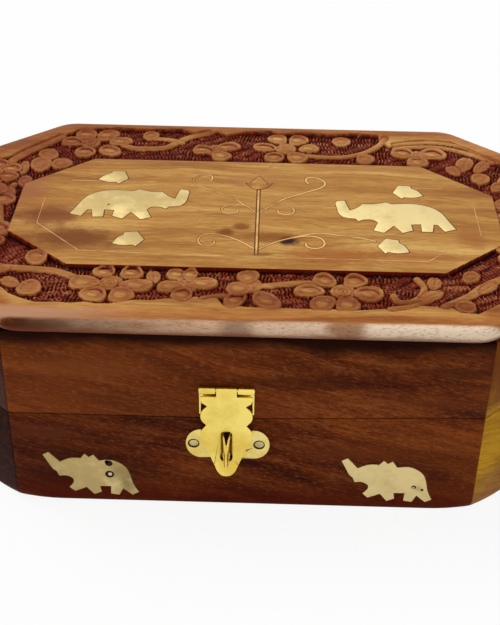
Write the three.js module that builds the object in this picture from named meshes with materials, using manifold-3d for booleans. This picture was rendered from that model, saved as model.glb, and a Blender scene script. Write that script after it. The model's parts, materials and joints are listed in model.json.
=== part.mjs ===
// A carved hardwood box with cut corners and brass inlay. Eight mitred boards stand round the base and
// eight round the lid, a carved plank closes the lid, two brass butt hinges join them behind, and a
// brass hasp with a slotted flap drops over a folded staple in front.
// Millimetres. X runs along the box, Y from front to back and Z up, from the middle of the underside.

import * as THREE from 'three';
import { mergeVertices } from 'three/addons/utils/BufferGeometryUtils.js';
import Module from 'manifold-3d';

const wasm = await Module();
wasm.setup();

// Plan of the box
const boxLength = 254;
const boxDepth = 152.4;
const cornerAlong = 43.2;
const cornerAcross = 38.1;
const plankCornerRadius = 14;
const plankOverhang = 2.3;
const cornerOverhang = 0.1;
const wallThickness = 9;

// Heights, from the table up
const seamHeight = 42.8;
const seamRise = 3.2; // the hand-sawn seam climbs this much towards the right end of the front
const lidWallHeight = 36.5;
const plankThickness = 6.5;
const noseRadius = 3.2;
const bottomThickness = 5;

// Velvet lining
const liningThickness = 1.2;
const liningReveal = 3;

// Carved border of the plank: its plain rims, its depth, and its hand-cut widths from the edge to the panel
const borderRims = {
  front: 10, front_right: 8.5, right: 8.5, back_right: 8, back: 5, back_left: 8, left: 8.5, front_left: 8.5,
};
const carveDepth = 2.2;
const reliefDrop = 0.45; // how far the flowers, leaves and vines stay below the plank's top
const reliefRoot = 0.5; // how far they run down into the plank
const reliefFoot = 1.08; // how much wider a petal is at its foot than at its top
const flowerButton = 2.6; // radius of the button in the middle of a whole flower
const borderWidths = {
  front: 34.4,
  front_right: 34,
  right: 30.5,
  back_right: 35.4,
  back: 34.2,
  back_left: 36.7,
  left: 33.7,
  front_left: 36.8,
};

// Brass inlay on the panel: elephants from the stem and the middle line, leaves from their elephant's middle
const inlayThickness = 0.8;
const frontInlayProud = 0.3;
const wireWidth = 0.75;
const elephantFromStem = { left: 50.4, right: 53.4 };
const elephantFromMiddle = { left: 4.8, right: -0.8 };
const elephantTurn = { left: 0, right: 1 };
const leafInward = { front_left: 1.8, front_right: 1.8, back_left: -9, back_right: -6.7 };
const leafBehind = { front_left: -27.1, front_right: -22.4, back_left: 20.9, back_right: 19.6 };
const leafTurn = { front_left: 10, front_right: -12, back_left: 0, back_right: -4 };
const stemOffset = 2.1;
const stemFromMiddle = -30.7;
const stemLength = 48.7;
const lowerVineReach = { left: 22.1, right: 25.6 };

// Elephants in the front wall
const frontElephantFromEnd = { left: 28.5, right: 33.1 };
const frontElephantHeight = { left: 14.2, right: 14.8 };
const frontElephantTurn = { left: 0, right: -1 };

// Back hinges
const hingeFromEnd = 23.3;
const hingeLength = 28;
const hingeReach = 6.2;
const hingeLeafThickness = 0.8;
const hingeInset = 2.5;
const knuckleRadius = 2;
const hingePinRadius = 0.9;
const lidStopAngle = 97;
const screwFromEnd = 5;
const screwReach = 4.2;
const screwHeadRadius = 1.4;
const screwShankRadius = 0.7;
const screwLength = 7;

// Hasp, from its own middle line and its own level just above the seam
const haspOffset = -6.9;
const haspLevel = 1.9;
const sheetThickness = 0.8;
const haspLeafWidth = 19.8;
const haspLeafBottom = 0.7;
const barrelRise = 12.1;
const barrelRadius = 1.4;
const haspPinRadius = 0.55;
const flapNeckWidth = 7.4;
const slotWidth = 4.5;
const slotTop = -5.5;
const slotBottom = -20.5;
const tipCrease = -21.7;
const tipKick = 18;
const windowWidth = 3.6;
const windowHeight = 5;
const windowMargin = 0.7;
const windowRise = 1.8;
const leafNailSpread = 3;
const leafNailRise = 5;

// Staple and its plate
const stapleProtrusion = 7;
const stapleTop = -7.9;
const stapleNoseTop = -12.9;
const stapleBottom = -19.8;
const stapleWidth = 3.4;
const stapleNoseWidth = 1.4;
const stapleSheet = 0.6;
const stapleTail = 3;
const shackleRadius = 1.6;
const platePlace = { x: 0.4, y: -13.4 };
const plateWidth = 30.8;
const plateHeight = 13.4;
const plateLobe = 5.6;
const plateNailSpread = 12;
const plateNailDrop = -13.5;
const nailHeadRadius = 1.85;
const nailSink = 0.25;
const nailRim = 0.15;
const nailTaper = 0.5;
const nailShankRadius = 0.6;
const nailLength = 6;

// Clearances
const glueGap = 0.2;
const seamGap = 0.3;
const workGap = 0.3;
const pinGap = 0.1;

const roundSteps = 24;
const smallSteps = 12;
const petalSteps = 8;
const wholeFlower = 6; // petals of a flower that isn't cut by its neighbours
const past = 1; // how far a cutter runs past the face that it opens

const finishes = {
  wood: new THREE.MeshStandardMaterial({ color: 0x7a4424, roughness: 0.5 }),
  paleWood: new THREE.MeshStandardMaterial({ color: 0xa8752c, roughness: 0.5 }),
  plank: new THREE.MeshStandardMaterial({ color: 0xbe8a4c, roughness: 0.45 }),
  velvet: new THREE.MeshStandardMaterial({ color: 0x7a0f1c, roughness: 0.95 }),
  inlay: new THREE.MeshStandardMaterial({ color: 0xdecd8c, roughness: 0.4, metalness: 0.9 }),
  bronze: new THREE.MeshStandardMaterial({ color: 0xb99650, roughness: 0.5, metalness: 0.8 }),
  brass: new THREE.MeshStandardMaterial({ color: 0xe1c350, roughness: 0.3, metalness: 1 }),
  steel: new THREE.MeshStandardMaterial({ color: 0xb8b2a6, roughness: 0.35, metalness: 1 }),
};
for (const finish of Object.values(finishes)) finish.flatShading = true;

// Solids: three.js makes each closed form, and joins and cuts happen on the merged mesh

function toSolid(geometry) {
  const bare = geometry.clone();
  bare.deleteAttribute('normal');
  bare.deleteAttribute('uv');
  const merged = mergeVertices(bare, 1e-5);
  return new wasm.Manifold(new wasm.Mesh({
    numProp: 3,
    vertProperties: new Float32Array(merged.attributes.position.array),
    triVerts: new Uint32Array(merged.index.array),
  }));
}

function toGeometry(solid) {
  const mesh = solid.getMesh();
  const geometry = new THREE.BufferGeometry();
  geometry.setAttribute('position', new THREE.BufferAttribute(mesh.vertProperties, 3));
  geometry.setIndex(new THREE.BufferAttribute(mesh.triVerts, 1));
  return geometry;
}

function prism(points, bottom, height, holes = []) {
  const shape = new THREE.Shape(points);
  shape.holes = holes.map((hole) => new THREE.Path(hole));
  const geometry = new THREE.ExtrudeGeometry(shape, { depth: height, bevelEnabled: false });
  return toSolid(geometry.translate(0, 0, bottom));
}

function block(low, high) {
  const size = high.map((value, axis) => value - low[axis]);
  const middle = high.map((value, axis) => (value + low[axis]) / 2);
  return toSolid(new THREE.BoxGeometry(...size).translate(...middle));
}

// A bar of round section along X, about the local origin's line
function rodAlongX(radius, from, to, steps = roundSteps) {
  const geometry = new THREE.CylinderGeometry(radius, radius, to - from, steps);
  return toSolid(geometry.rotateZ(Math.PI / 2).translate((from + to) / 2, 0, 0));
}

// A turned form whose axis is local Z, from its profile of radius and height
function turned(profile, steps = smallSteps) {
  const points = profile.map(([radius, height]) => new THREE.Vector2(radius, height));
  return toSolid(new THREE.LatheGeometry(points, steps).rotateX(Math.PI / 2));
}

// Plan outlines

function cutCornerOutline(halfLength, halfDepth, along, across) {
  const nearEnd = halfLength - along;
  const nearSide = halfDepth - across;
  return [
    [-nearEnd, -halfDepth], [nearEnd, -halfDepth], [halfLength, -nearSide], [halfLength, nearSide],
    [nearEnd, halfDepth], [-nearEnd, halfDepth], [-halfLength, nearSide], [-halfLength, -nearSide],
  ].map(([x, y]) => new THREE.Vector2(x, y));
}

function insetOutline(points, insets) {
  const count = points.length;
  const lines = points.map((start, i) => {
    const run = points[(i + 1) % count].clone().sub(start).normalize();
    const inward = new THREE.Vector2(-run.y, run.x);
    const inset = Array.isArray(insets) ? insets[i] : insets;
    return { start: start.clone().addScaledVector(inward, inset), run };
  });
  return lines.map((line, i) => {
    const before = lines[(i + count - 1) % count];
    const between = line.start.clone().sub(before.start);
    const along = between.cross(line.run) / before.run.cross(line.run);
    return before.start.clone().addScaledVector(before.run, along);
  });
}

// The outline with an arc of the given radius at each corner
function roundedOutline(points, radius, steps = 5) {
  const count = points.length;
  return points.flatMap((corner, i) => {
    const before = points[(i + count - 1) % count].clone().sub(corner).normalize();
    const after = points[(i + 1) % count].clone().sub(corner).normalize();
    const half = Math.acos(before.dot(after)) / 2;
    const inward = before.clone().add(after).normalize();
    const middle = corner.clone().addScaledVector(inward, radius / Math.sin(half));
    const start = corner.clone().addScaledVector(before, radius / Math.tan(half)).sub(middle);
    const sweep = Math.PI - 2 * half;
    return Array.from({ length: steps + 1 }, (_, step) => (
      start.clone().rotateAround(new THREE.Vector2(), sweep * step / steps).add(middle)
    ));
  });
}

// A closed outline from [x, y] corners, where [x, y, 1] is a point that a smooth curve runs through
function drawnOutline(marks, stepsPerSpan = 3) {
  const points = marks.map(([x, y]) => new THREE.Vector2(x, y));
  const outline = [];
  let run = [points[0]];
  for (let i = 1; i <= marks.length; i += 1) {
    run.push(points[i % marks.length]);
    if (marks[i % marks.length][2]) continue;
    const smooth = run.length > 2;
    const drawn = smooth ? new THREE.SplineCurve(run).getPoints((run.length - 1) * stepsPerSpan) : run;
    outline.push(...drawn.slice(0, -1));
    run = [points[i % marks.length]];
  }
  return outline;
}

// The same outline pushed outwards all round, for the pocket that an inlay lies in
function grownOutline(points, distance) {
  const count = points.length;
  return points.map((point, i) => {
    const before = point.clone().sub(points[(i + count - 1) % count]).normalize();
    const after = points[(i + 1) % count].clone().sub(point).normalize();
    const sum = new THREE.Vector2(before.y + after.y, -before.x - after.x);
    const reach = Math.max(1 + before.dot(after), 0.35);
    return point.clone().addScaledVector(sum, distance / reach);
  });
}

function turnedAndMoved(points, degrees, x, y) {
  const angle = THREE.MathUtils.degToRad(degrees);
  return points.map((point) => point.clone().rotateAround(new THREE.Vector2(), angle).add({ x, y }));
}

function mirrored(points) {
  return points.map((point) => new THREE.Vector2(-point.x, point.y)).reverse();
}

// A strip of even width along a smooth line, such as a wire laid on edge
function strip(line, width, stepsPerSpan = 4) {
  const curve = new THREE.SplineCurve(line.map(([x, y]) => new THREE.Vector2(x, y)));
  const steps = (line.length - 1) * stepsPerSpan;
  const sides = [1, -1].map((side) => Array.from({ length: steps + 1 }, (_, i) => {
    const tangent = curve.getTangent(i / steps);
    const aside = side * width / 2;
    return curve.getPoint(i / steps).add({ x: -tangent.y * aside, y: tangent.x * aside });
  }));
  return [...sides[1], ...sides[0].reverse()];
}

// The traced ornaments, each about its own middle

const walkingElephant = [
  [-22.7, 10], [-21.9, 11.7], [-18.9, 12.1], [-18.1, 8.3, 1], [-17.3, 4.4], [-14.5, 6.3, 1], [-11.9, 9.7],
  [-7.2, 9.6, 1], [-2.5, 11.3], [-0.2, 9.7], [7.3, 10.3, 1], [13, 8.8, 1], [16.5, 6.3, 1], [19, 2.5, 1],
  [20.8, -3.3, 1], [22.8, -8.9], [18.3, -10.8], [16.2, -5.8], [14.6, -5.6], [13.6, -11.2], [9.5, -10.9],
  [9.7, -5.5], [5.8, -5.8], [6.1, -10.2], [2, -12.1], [-0.9, -6.8], [-5.1, -12.3], [-9, -10.5],
  [-6.9, -4.7], [-8.6, -2.6, 1], [-11.9, -2.5, 1], [-14.3, -3.8], [-15.4, -1.9], [-19.6, -1.1, 1],
  [-21.7, 2, 1], [-22.3, 6.5, 1],
];

const saddledElephant = [
  [-17.6, 9], [-15.4, 10.3], [-11.4, 5.6], [-8.3, 7.3, 1], [-5.6, 7.8, 1], [-3.6, 7.6], [-2, 9.8],
  [-0.4, 8.3], [1.3, 9.6], [3.2, 6.7], [7, 7.2, 1], [10.2, 6.2, 1], [13.1, 3.8, 1], [14.6, 0.2, 1],
  [15.7, -4.5, 1], [17.6, -8.6], [15.2, -10], [11.7, -6.9], [10.2, -10.2], [7, -9.7], [7.2, -5.9],
  [3, -6], [3.5, -8.9], [0.7, -10.2], [-2.1, -6.7], [-6.6, -8.9], [-8.6, -6.9], [-6.9, -4.5, 1],
  [-7.1, -2.4, 1], [-9.4, -1.1, 1], [-12.1, -1.3], [-12.9, 0.9], [-14.4, 2.3],
];

const pointedLeaf = [
  [6, -2.1], [3.8, 1.7, 1], [1.4, 3.4], [0.9, 5.2], [-4, 5.2], [-6.1, -1], [-2.5, -5.4], [-1.5, -4.1],
  [1.4, -4.2, 1], [4, -3.4, 1],
];

const lotus = [
  [0, 11.4], [-2, 8, 1], [-3.2, 6.1], [-3.4, 4.3], [-5.4, 5.4], [-3, 1.5, 1], [0, 0], [3, 1.5, 1],
  [5.4, 5.4], [3.4, 4.3], [3.2, 6.1], [2, 8, 1],
];

// Vines, from the stem's middle line and the panel's middle, drawn for the right-hand side
const upperVine = [[0.9, -0.2], [3.4, 3.4], [6, 6.3], [10.9, 11.6], [20.9, 18], [26, 21.8], [26.6, 25.8],
  [23.6, 29], [20, 29], [19.1, 26.4], [20.3, 24]];
const middleCurl = [[4.9, 5.1], [8.8, 6], [12.3, 5], [14.2, 2.5], [13.4, -0.5], [10.8, -1.1], [8.2, -0.1],
  [8, 1.9]];
const lowerVine = [[0.8, -27], [6.3, -22.1], [11.8, -18.8], [18.2, -16.9], [22.5, -18.2], [24, -21.8],
  [22.8, -24.8], [20, -25.8], [17.6, -24.2], [17.4, -22]];
const leafTendril = [[13.6, -18.3], [20.3, -15.4], [26, -14.7], [32.3, -16], [39.2, -17.4], [45, -19.6]];

// The carving of the border. Each motif stands at its own distance along a side's edge, from the edge's
// middle, and inward from it. A petal has its middle, half length and half width; it points away from the
// flower's middle. A leaf has its half length, half width and the way it points in degrees.
const carvedFlowers = [
  { side: 'front', along: -49.4, inward: 24.9, petals: [
    [-3.2, 7.2, 3.7, 3.7], [6.7, 7, 4.3, 3.9], [9.2, -1, 5.6, 3.7], [4.4, -7.2, 4.6, 4.4],
    [-5.3, -7, 4.7, 4.5], [-9.6, 0.2, 5.4, 3.9],
  ] },
  { side: 'front', along: -22.4, inward: 24.7, petals: [
    [-5.2, -1.2, 4.8, 3.6], [-1, -5.8, 4.2, 3.7], [5.9, 1.4, 4.8, 3.7], [-3.8, 6.6, 3.7, 3.3],
    [1, 6.8, 3.8, 2.6],
  ] },
  { side: 'front', along: 0.2, inward: 25.7, petals: [
    [6, -9.2, 5.8, 4.2], [-4.8, -9.4, 5.4, 3.2], [-3.4, -2.2, 4.6, 4], [-0.6, 5.3, 4, 3.8],
  ] },
  { side: 'front', along: 33.5, inward: 23.1, petals: [
    [-6.2, 7, 4.3, 4], [4.5, 7, 4.4, 4.1], [9.1, -1, 5.2, 4.4], [1.3, -7.7, 5, 4.1],
    [-7.2, -7.7, 5.1, 4.1], [-11.8, 0, 5, 3.8],
  ] },
  { side: 'back', along: 71.2, inward: 18.9, petals: [
    [-2.2, 7.2, 4.6, 4.2], [6.8, 7, 5, 4.3], [-7.4, 0.4, 4.8, 3.8], [13, 1.4, 5, 3.6],
    [-1, -8.6, 4.8, 4], [9.2, -7, 5.2, 3.9],
  ] },
  { side: 'back', along: 17.6, inward: 23.3, petals: [
    [-4.4, 0.2, 4.3, 4], [5.6, 3, 5.2, 3.8], [3, -5, 4.2, 3.8],
  ] },
  { side: 'back', along: -12.9, inward: 20.7, petals: [
    [-3.2, 8.6, 4.2, 3.8], [5.4, 8.2, 4.5, 4], [-8.7, 1, 4.6, 3.8], [9.9, 0.6, 4.2, 3.4],
    [-4.7, -7.6, 4.6, 3.8], [4.8, -7.5, 4.6, 4.2],
  ] },
  { side: 'back', along: -68.6, inward: 24.5, petals: [
    [-5.7, 2.4, 4.8, 4.2], [-0.1, -5.4, 4.4, 4.2], [6.7, 2, 6, 4.6],
  ] },
  { side: 'right', along: 5.1, inward: 20.6, petals: [
    [7.9, 2.1, 4.9, 4.2], [2.1, 7.9, 4.9, 4.2], [-5.8, 5.8, 4.9, 4.2], [-7.9, -2.1, 4.9, 4.2],
    [-2.1, -7.9, 4.9, 4.2], [5.8, -5.8, 4.9, 4.2],
  ] },
  { side: 'right', along: -22.9, inward: 23.4, petals: [
    [6.3, 5.3, 4.9, 4.2], [-1.4, 8.1, 4.9, 4.2], [-7.7, 2.8, 4.9, 4.2], [-6.3, -5.3, 4.9, 4.2],
    [1.4, -8.1, 4.9, 4.2], [7.7, -2.8, 4.9, 4.2],
  ] },
  { side: 'left', along: -7.1, inward: 19.6, petals: [
    [8.2, 0, 4.9, 4.2], [4.1, 7.1, 4.9, 4.2], [-4.1, 7.1, 4.9, 4.2], [-8.2, 0, 4.9, 4.2],
    [-4.1, -7.1, 4.9, 4.2], [4.1, -7.1, 4.9, 4.2],
  ] },
  { side: 'left', along: 18.9, inward: 22.4, petals: [
    [7.4, 3.5, 4.9, 4.2], [0.7, 8.2, 4.9, 4.2], [-6.7, 4.7, 4.9, 4.2], [-7.4, -3.5, 4.9, 4.2],
    [-0.7, -8.2, 4.9, 4.2], [6.7, -4.7, 4.9, 4.2],
  ] },
  { side: 'back_left', along: 19, inward: 20.6, petals: [
    [5.7, 3.3, 4, 3.4], [0, 6.6, 4, 3.4], [-5.7, 3.3, 4, 3.4], [-5.7, -3.3, 4, 3.4], [0, -6.6, 4, 3.4],
    [5.7, -3.3, 4, 3.4],
  ] },
];
const carvedLeaves = [
  ['front_left', 19.5, 19.4, 5.2, 4.5, -100], ['front_left', 11.5, 17.2, 4.6, 3, 140],
  ['front', -34.6, 29.7, 4.4, 2.8, 95], ['front', 64.6, 21.9, 5.6, 3, 40],
  ['front', 66.6, 30.1, 4.4, 2.8, 80], ['front', 76.2, 15.1, 3.9, 3.8, 0],
  ['front_right', -8.8, 28.1, 4.2, 3.2, 60], ['front_right', -9, 19.7, 5, 2.4, 45],
  ['front_left', 5.7, 33.9, 5.4, 4.2, 100], ['back_left', 1.5, 26.7, 6.4, 4.5, 95],
  ['back_left', -5.4, 31.5, 4.7, 4.5, 60], ['back_left', 8.5, 24.8, 6, 2.1, 92],
  ['left', -21.5, 34, 4.6, 2.9, 90], ['left', -9.1, 29.8, 7, 2.4, 90], ['left', 15.5, 32.4, 5.4, 3, 100],
  ['back_left', -5.8, 21.2, 5.2, 4.2, 120], ['back', 45.6, 11.7, 4.4, 3.6, 80],
  ['back', -46.6, 28.9, 4.6, 4, 85], ['back', -37, 13.3, 4.2, 4.1, 90],
  ['back_right', 5.3, 20.2, 7, 3.8, 70], ['back_right', -1.1, 17, 6.4, 3, 60],
  ['back_right', -7.2, 26.6, 4.6, 4, 80], ['back_right', -16.2, 27.1, 5.4, 3, 60],
  ['back_right', 5.3, 27.9, 4.6, 3, 110], ['right', 19.1, 15, 5, 3, 100],
  ['back_right', -14.9, 19, 6, 3.4, 50], ['front_right', 8.2, 19.8, 5, 3, -40],
  ['front_right', -1.4, 15.6, 4.6, 2.8, 30], ['right', -8.9, 15, 4.6, 2.6, -80],
  ['front_left', -9.6, 20.5, 5.4, 3.2, 210], ['front_left', 2.4, 19, 4.6, 2.8, 200],
  ['left', 5.9, 14, 4.6, 2.4, 90], ['left', -21.1, 14.4, 3.8, 2.2, 90],
];
const carvedVines = [
  { side: 'front_left', along: -1.1, inward: 19.9, width: 4, line: [
    [0, 0], [5, -1], [13, -1.6], [21, -2.4], [27, -4.8], [32.5, -8.4],
  ] },
  { side: 'front', along: 0, inward: 24.9, width: 3.4, line: [
    [0, 0], [7, 1], [14, 2.4], [19, 3.2], [24.5, 3.4],
  ] },
  { side: 'front', along: -16, inward: 16.9, width: 3, line: [[0, 0], [7, 1.8], [12, 0.4]] },
  { side: 'front', along: 50, inward: 12.7, width: 3.6, line: [
    [0, 0], [5, 1.4], [10, 4], [14.5, 7.6], [18, 12],
  ] },
  { side: 'front', along: 69, inward: 15.1, width: 4, line: [
    [0, 0], [4.5, 3.4], [9.5, 7.2], [14.6, 12.8], [20.5, 17.6], [28, 21.8],
  ] },
  { side: 'front', along: 60.6, inward: 32.5, width: 3, line: [
    [0, 0], [2, -4.8], [1, -10.2], [-3.2, -14.6], [-7.8, -14.8], [-9.2, -11],
  ] },
  { side: 'back', along: 58, inward: 19.7, width: 3.8, line: [
    [0, 0], [6, -3.4], [13, -3.4], [20, -2], [24.4, 3], [29.6, 8.2], [37, 12.2],
  ] },
  { side: 'back', along: 46, inward: 14.3, width: 3.4, line: [[0, 0], [5, 0.2], [10, -0.8], [14, -2.8]] },
  { side: 'back', along: -21, inward: 26.1, width: 3.2, line: [
    [0, 0], [7, -1.2], [15, -1], [22, 1.4], [28, 5.8], [32.6, 11.6], [35, 17],
  ] },
  { side: 'back', along: -60, inward: 14.7, width: 3.2, line: [
    [0, 0], [8, 2.2], [18, 3], [28, 0.2], [37, -6.8], [46, -15.4],
  ] },
  { side: 'back', along: -60, inward: 18.1, width: 3, line: [
    [0, 0], [6, 1.6], [16, 2.4], [24, 0.6], [32, -3.8], [40, -10.6],
  ] },
  { side: 'left', along: -23.1, inward: 26.5, width: 4.4, line: [
    [0, 0], [-2, 8], [-1, 16], [4, 24], [10.5, 31.5], [16.5, 38.5],
  ] },
  { side: 'left', along: -19.1, inward: 30.2, width: 3, line: [
    [0, 0], [-2.7, -7], [-2.8, -16], [-0.8, -26], [0.2, -32],
  ] },
];

// Pieces are modelled where they stand in the shut box, then taken into their group's own frame
function group(parent, x = 0, y = 0, z = 0) {
  const made = new THREE.Group();
  const origin = parent ? parent.userData.origin : new THREE.Vector3();
  made.userData.origin = new THREE.Vector3(x, y, z);
  made.position.copy(made.userData.origin).sub(origin);
  if (parent) parent.add(made);
  return made;
}

function place(parent, name, solid, finish) {
  const origin = parent.userData.origin;
  const geometry = toGeometry(solid.translate([-origin.x, -origin.y, -origin.z]));
  const mesh = new THREE.Mesh(geometry, finishes[finish]);
  mesh.name = name;
  parent.add(mesh);
}

// What the boards, the plank and the linings share
const frontWallY = -boxDepth / 2 + plankOverhang;
const hingeY = -frontWallY - hingeInset;
const plankUnderside = seamHeight + lidWallHeight + glueGap;
const plankTop = plankUnderside + plankThickness;

const sideNames = ['front', 'front_right', 'right', 'back_right', 'back', 'back_left', 'left', 'front_left'];
const plankOutline = cutCornerOutline(boxLength / 2, boxDepth / 2, cornerAlong, cornerAcross);
const overhangs = sideNames.map((name, i) => (i % 2 ? cornerOverhang : plankOverhang));
const panelOutline = insetOutline(plankOutline, sideNames.map((name) => borderWidths[name]));
const panelMiddle = (panelOutline[0].y + panelOutline[4].y) / 2;
const wallOutline = insetOutline(plankOutline, overhangs);
const hollowOutline = insetOutline(wallOutline, wallThickness);
const boardOutline = insetOutline(hollowOutline, glueGap);
const liningOutline = insetOutline(boardOutline, liningThickness);
const frontWallHalf = wallOutline[1].x;
const hingeSpacing = 2 * (frontWallHalf - hingeFromEnd);
const sideSign = { left: -1, right: 1 };

const box = group(null);
const base = group(box);
const lid = group(box, 0, hingeY, seamHeight);
const barrelY = frontWallY - glueGap / 2 - barrelRadius;
const flapHinge = group(lid, haspOffset, barrelY, seamHeight + haspLevel + barrelRise);

// All that lies above the seam, lifted or lowered from it. The seam is level at the back and over the left
// half, and climbs to the right in front.
function aboveSeam(lift) {
  const geometry = new THREE.BoxGeometry(boxLength + 2 * past, boxDepth + 2 * past, 2 * past, 2);
  const { position } = geometry.attributes;
  for (let i = 0; i < position.count; i += 1) {
    const rightward = Math.max(position.getX(i) / frontWallHalf, 0);
    const forward = Math.max(hingeY - position.getY(i), 0) / (hingeY - frontWallY);
    const seam = seamHeight + seamRise * rightward * forward + lift;
    position.setZ(i, position.getZ(i) < 0 ? seam : plankUnderside);
  }
  return toSolid(geometry);
}

// Boards

function wallBoard(side, bottom, top) {
  const next = (side + 1) % sideNames.length;
  const run = wallOutline[next].clone().sub(wallOutline[side]).normalize().multiplyScalar(glueGap / 2);
  return prism([
    wallOutline[side].clone().add(run), wallOutline[next].clone().sub(run),
    hollowOutline[next].clone().sub(run), hollowOutline[side].clone().add(run),
  ], bottom, top - bottom);
}

// The bevels behind the hinge line, which meet when the lid stands open and stop it there
function stopBevel(up) {
  const run = hingeInset + past;
  const rise = Math.tan(THREE.MathUtils.degToRad(lidStopAngle / 2)) * run;
  const wedge = new THREE.Shape([
    new THREE.Vector2(0, 0), new THREE.Vector2(run, up * rise), new THREE.Vector2(run, -up * past),
    new THREE.Vector2(0, -up * past),
  ]);
  const geometry = new THREE.ExtrudeGeometry(wedge, { depth: boxLength, bevelEnabled: false });
  geometry.rotateX(Math.PI / 2).rotateZ(Math.PI / 2).translate(-boxLength / 2, hingeY, seamHeight);
  return toSolid(geometry);
}

function withStopBevel(solid, up) {
  return solid.subtract(stopBevel(up));
}

// Hinges: two leaves let into the meeting edges, with three knuckles on a pin

function knuckleSpans(upper) {
  const third = hingeLength / 3;
  const half = hingeLength / 2;
  const middle = [-third / 2, third / 2];
  return upper ? [middle] : [[-half, middle[0] - workGap], [middle[1] + workGap, half]];
}

function screwPlaces(x, up) {
  return [-1, 1].map((side) => [
    x + side * (hingeLength / 2 - screwFromEnd), hingeY - screwReach, seamHeight + up * seamGap / 2,
  ]);
}

// A countersunk screw, from its head's flat face; with room it is the hole that the screw goes in
function screwForm(room, up) {
  const head = screwHeadRadius + room;
  const shank = screwShankRadius + room;
  const above = room ? [[head, past], [0, past]] : [[0, 0]];
  const solid = turned([[0, -screwLength - room], [shank, -screwLength - room], [shank, -hingeLeafThickness],
    [head, 0], ...above]);
  return up > 0 ? solid.rotate([180, 0, 0]) : solid;
}

function hingeLeaf(x, up) {
  const upper = up > 0;
  const near = up * seamGap / 2;
  const far = near + up * hingeLeafThickness;
  const half = hingeLength / 2;
  let leaf = block([-half, -hingeReach, Math.min(near, far)], [half, 0, Math.max(near, far)]);
  for (const [from, to] of knuckleSpans(!upper)) {
    leaf = leaf.subtract(rodAlongX(knuckleRadius + workGap, from - workGap, to + workGap));
  }
  for (const [from, to] of knuckleSpans(upper)) leaf = leaf.add(rodAlongX(knuckleRadius, from, to));
  leaf = leaf.subtract(rodAlongX(hingePinRadius + pinGap, -hingeLength, hingeLength));
  leaf = leaf.translate([x, hingeY, seamHeight]);
  for (const spot of screwPlaces(x, up)) leaf = leaf.subtract(screwForm(pinGap, up).translate(spot));
  return leaf;
}

// The room that one hinge takes out of the board above or below the seam
function hingeMortise(x, up) {
  const half = hingeLength / 2 + glueGap;
  const deep = up * (seamGap / 2 + hingeLeafThickness + glueGap);
  let room = block(
    [-half, -hingeReach - glueGap, Math.min(deep, -up * past)],
    [half, hingeInset + past, Math.max(deep, -up * past)],
  );
  room = room.add(rodAlongX(knuckleRadius + workGap, -half, half)).translate([x, hingeY, seamHeight]);
  for (const spot of screwPlaces(x, up)) room = room.add(screwForm(glueGap, up).translate(spot));
  return room;
}

function placeHinge(side, x) {
  place(base, `hinge_${side}_lower_leaf`, hingeLeaf(x, -1), 'brass');
  place(lid, `hinge_${side}_upper_leaf`, hingeLeaf(x, 1), 'brass');
  const pinHalf = hingeLength / 2 + workGap / 2;
  const pin = rodAlongX(hingePinRadius, -pinHalf, pinHalf, smallSteps).translate([x, hingeY, seamHeight]);
  place(base, `hinge_${side}_pin`, pin, 'brass');
  screwPlaces(x, -1).forEach((spot, i) => {
    place(base, `hinge_${side}_lower_screw_${i + 1}`, screwForm(0, -1).translate(spot), 'brass');
  });
  screwPlaces(x, 1).forEach((spot, i) => {
    place(lid, `hinge_${side}_upper_screw_${i + 1}`, screwForm(0, 1).translate(spot), 'brass');
  });
}

// Metalware on the front is drawn as the viewer sees the wall: x to the right and y up from the hasp's
// own zero, z out of the wall
function onFront(solid, x = haspOffset, height = seamHeight + haspLevel) {
  return solid.rotate([90, 0, 0]).translate([x, frontWallY, height]);
}

// A sunk nail, from its sheet's front face; with room it is the hole that the nail goes in
function nailForm(room) {
  const head = nailHeadRadius + room;
  const shank = nailShankRadius + room;
  const top = room ? past : -nailSink;
  const rim = -nailSink - nailRim;
  return turned([[0, -nailLength - room], [shank, -nailLength - room], [shank, rim - nailTaper],
    [head, rim], [head, top], [0, top]]);
}

const sheetBack = glueGap / 2;
const sheetFront = sheetBack + sheetThickness;
const barrelAxis = { y: barrelRise, z: glueGap / 2 + barrelRadius };
const flapFront = barrelAxis.z + barrelRadius;
const flapBack = flapFront - sheetThickness;

const leafNails = [-1, 1].map((side) => [side * leafNailSpread, leafNailRise, sheetFront]);
const plateNails = [-1, 1].map((side) => [side * plateNailSpread, plateNailDrop, sheetFront]);

function barrel(radius, from, to) {
  return rodAlongX(radius, from, to).translate([0, barrelAxis.y, barrelAxis.z]);
}

function haspLeaf() {
  const half = haspLeafWidth / 2;
  const neck = flapNeckWidth / 2 + workGap;
  let leaf = block([-half, haspLeafBottom, sheetBack], [half, barrelRise, sheetFront]);
  leaf = leaf.subtract(barrel(barrelRadius + workGap, -neck, neck));
  leaf = leaf.subtract(block([-neck, barrelRise - barrelRadius, 0], [neck, barrelRise + past, flapFront]));
  for (const side of [-1, 1]) {
    const ends = [side * neck, side * half].sort((a, b) => a - b);
    leaf = leaf.add(barrel(barrelRadius, ...ends));
    const paneMiddle = side * (half - windowMargin - windowWidth / 2);
    leaf = leaf.subtract(block(
      [paneMiddle - windowWidth / 2, windowRise, 0],
      [paneMiddle + windowWidth / 2, windowRise + windowHeight, flapFront],
    ));
  }
  leaf = leaf.subtract(barrel(haspPinRadius + pinGap, -haspLeafWidth, haspLeafWidth));
  for (const spot of leafNails) leaf = leaf.subtract(nailForm(glueGap).translate(spot));
  return leaf;
}

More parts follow.
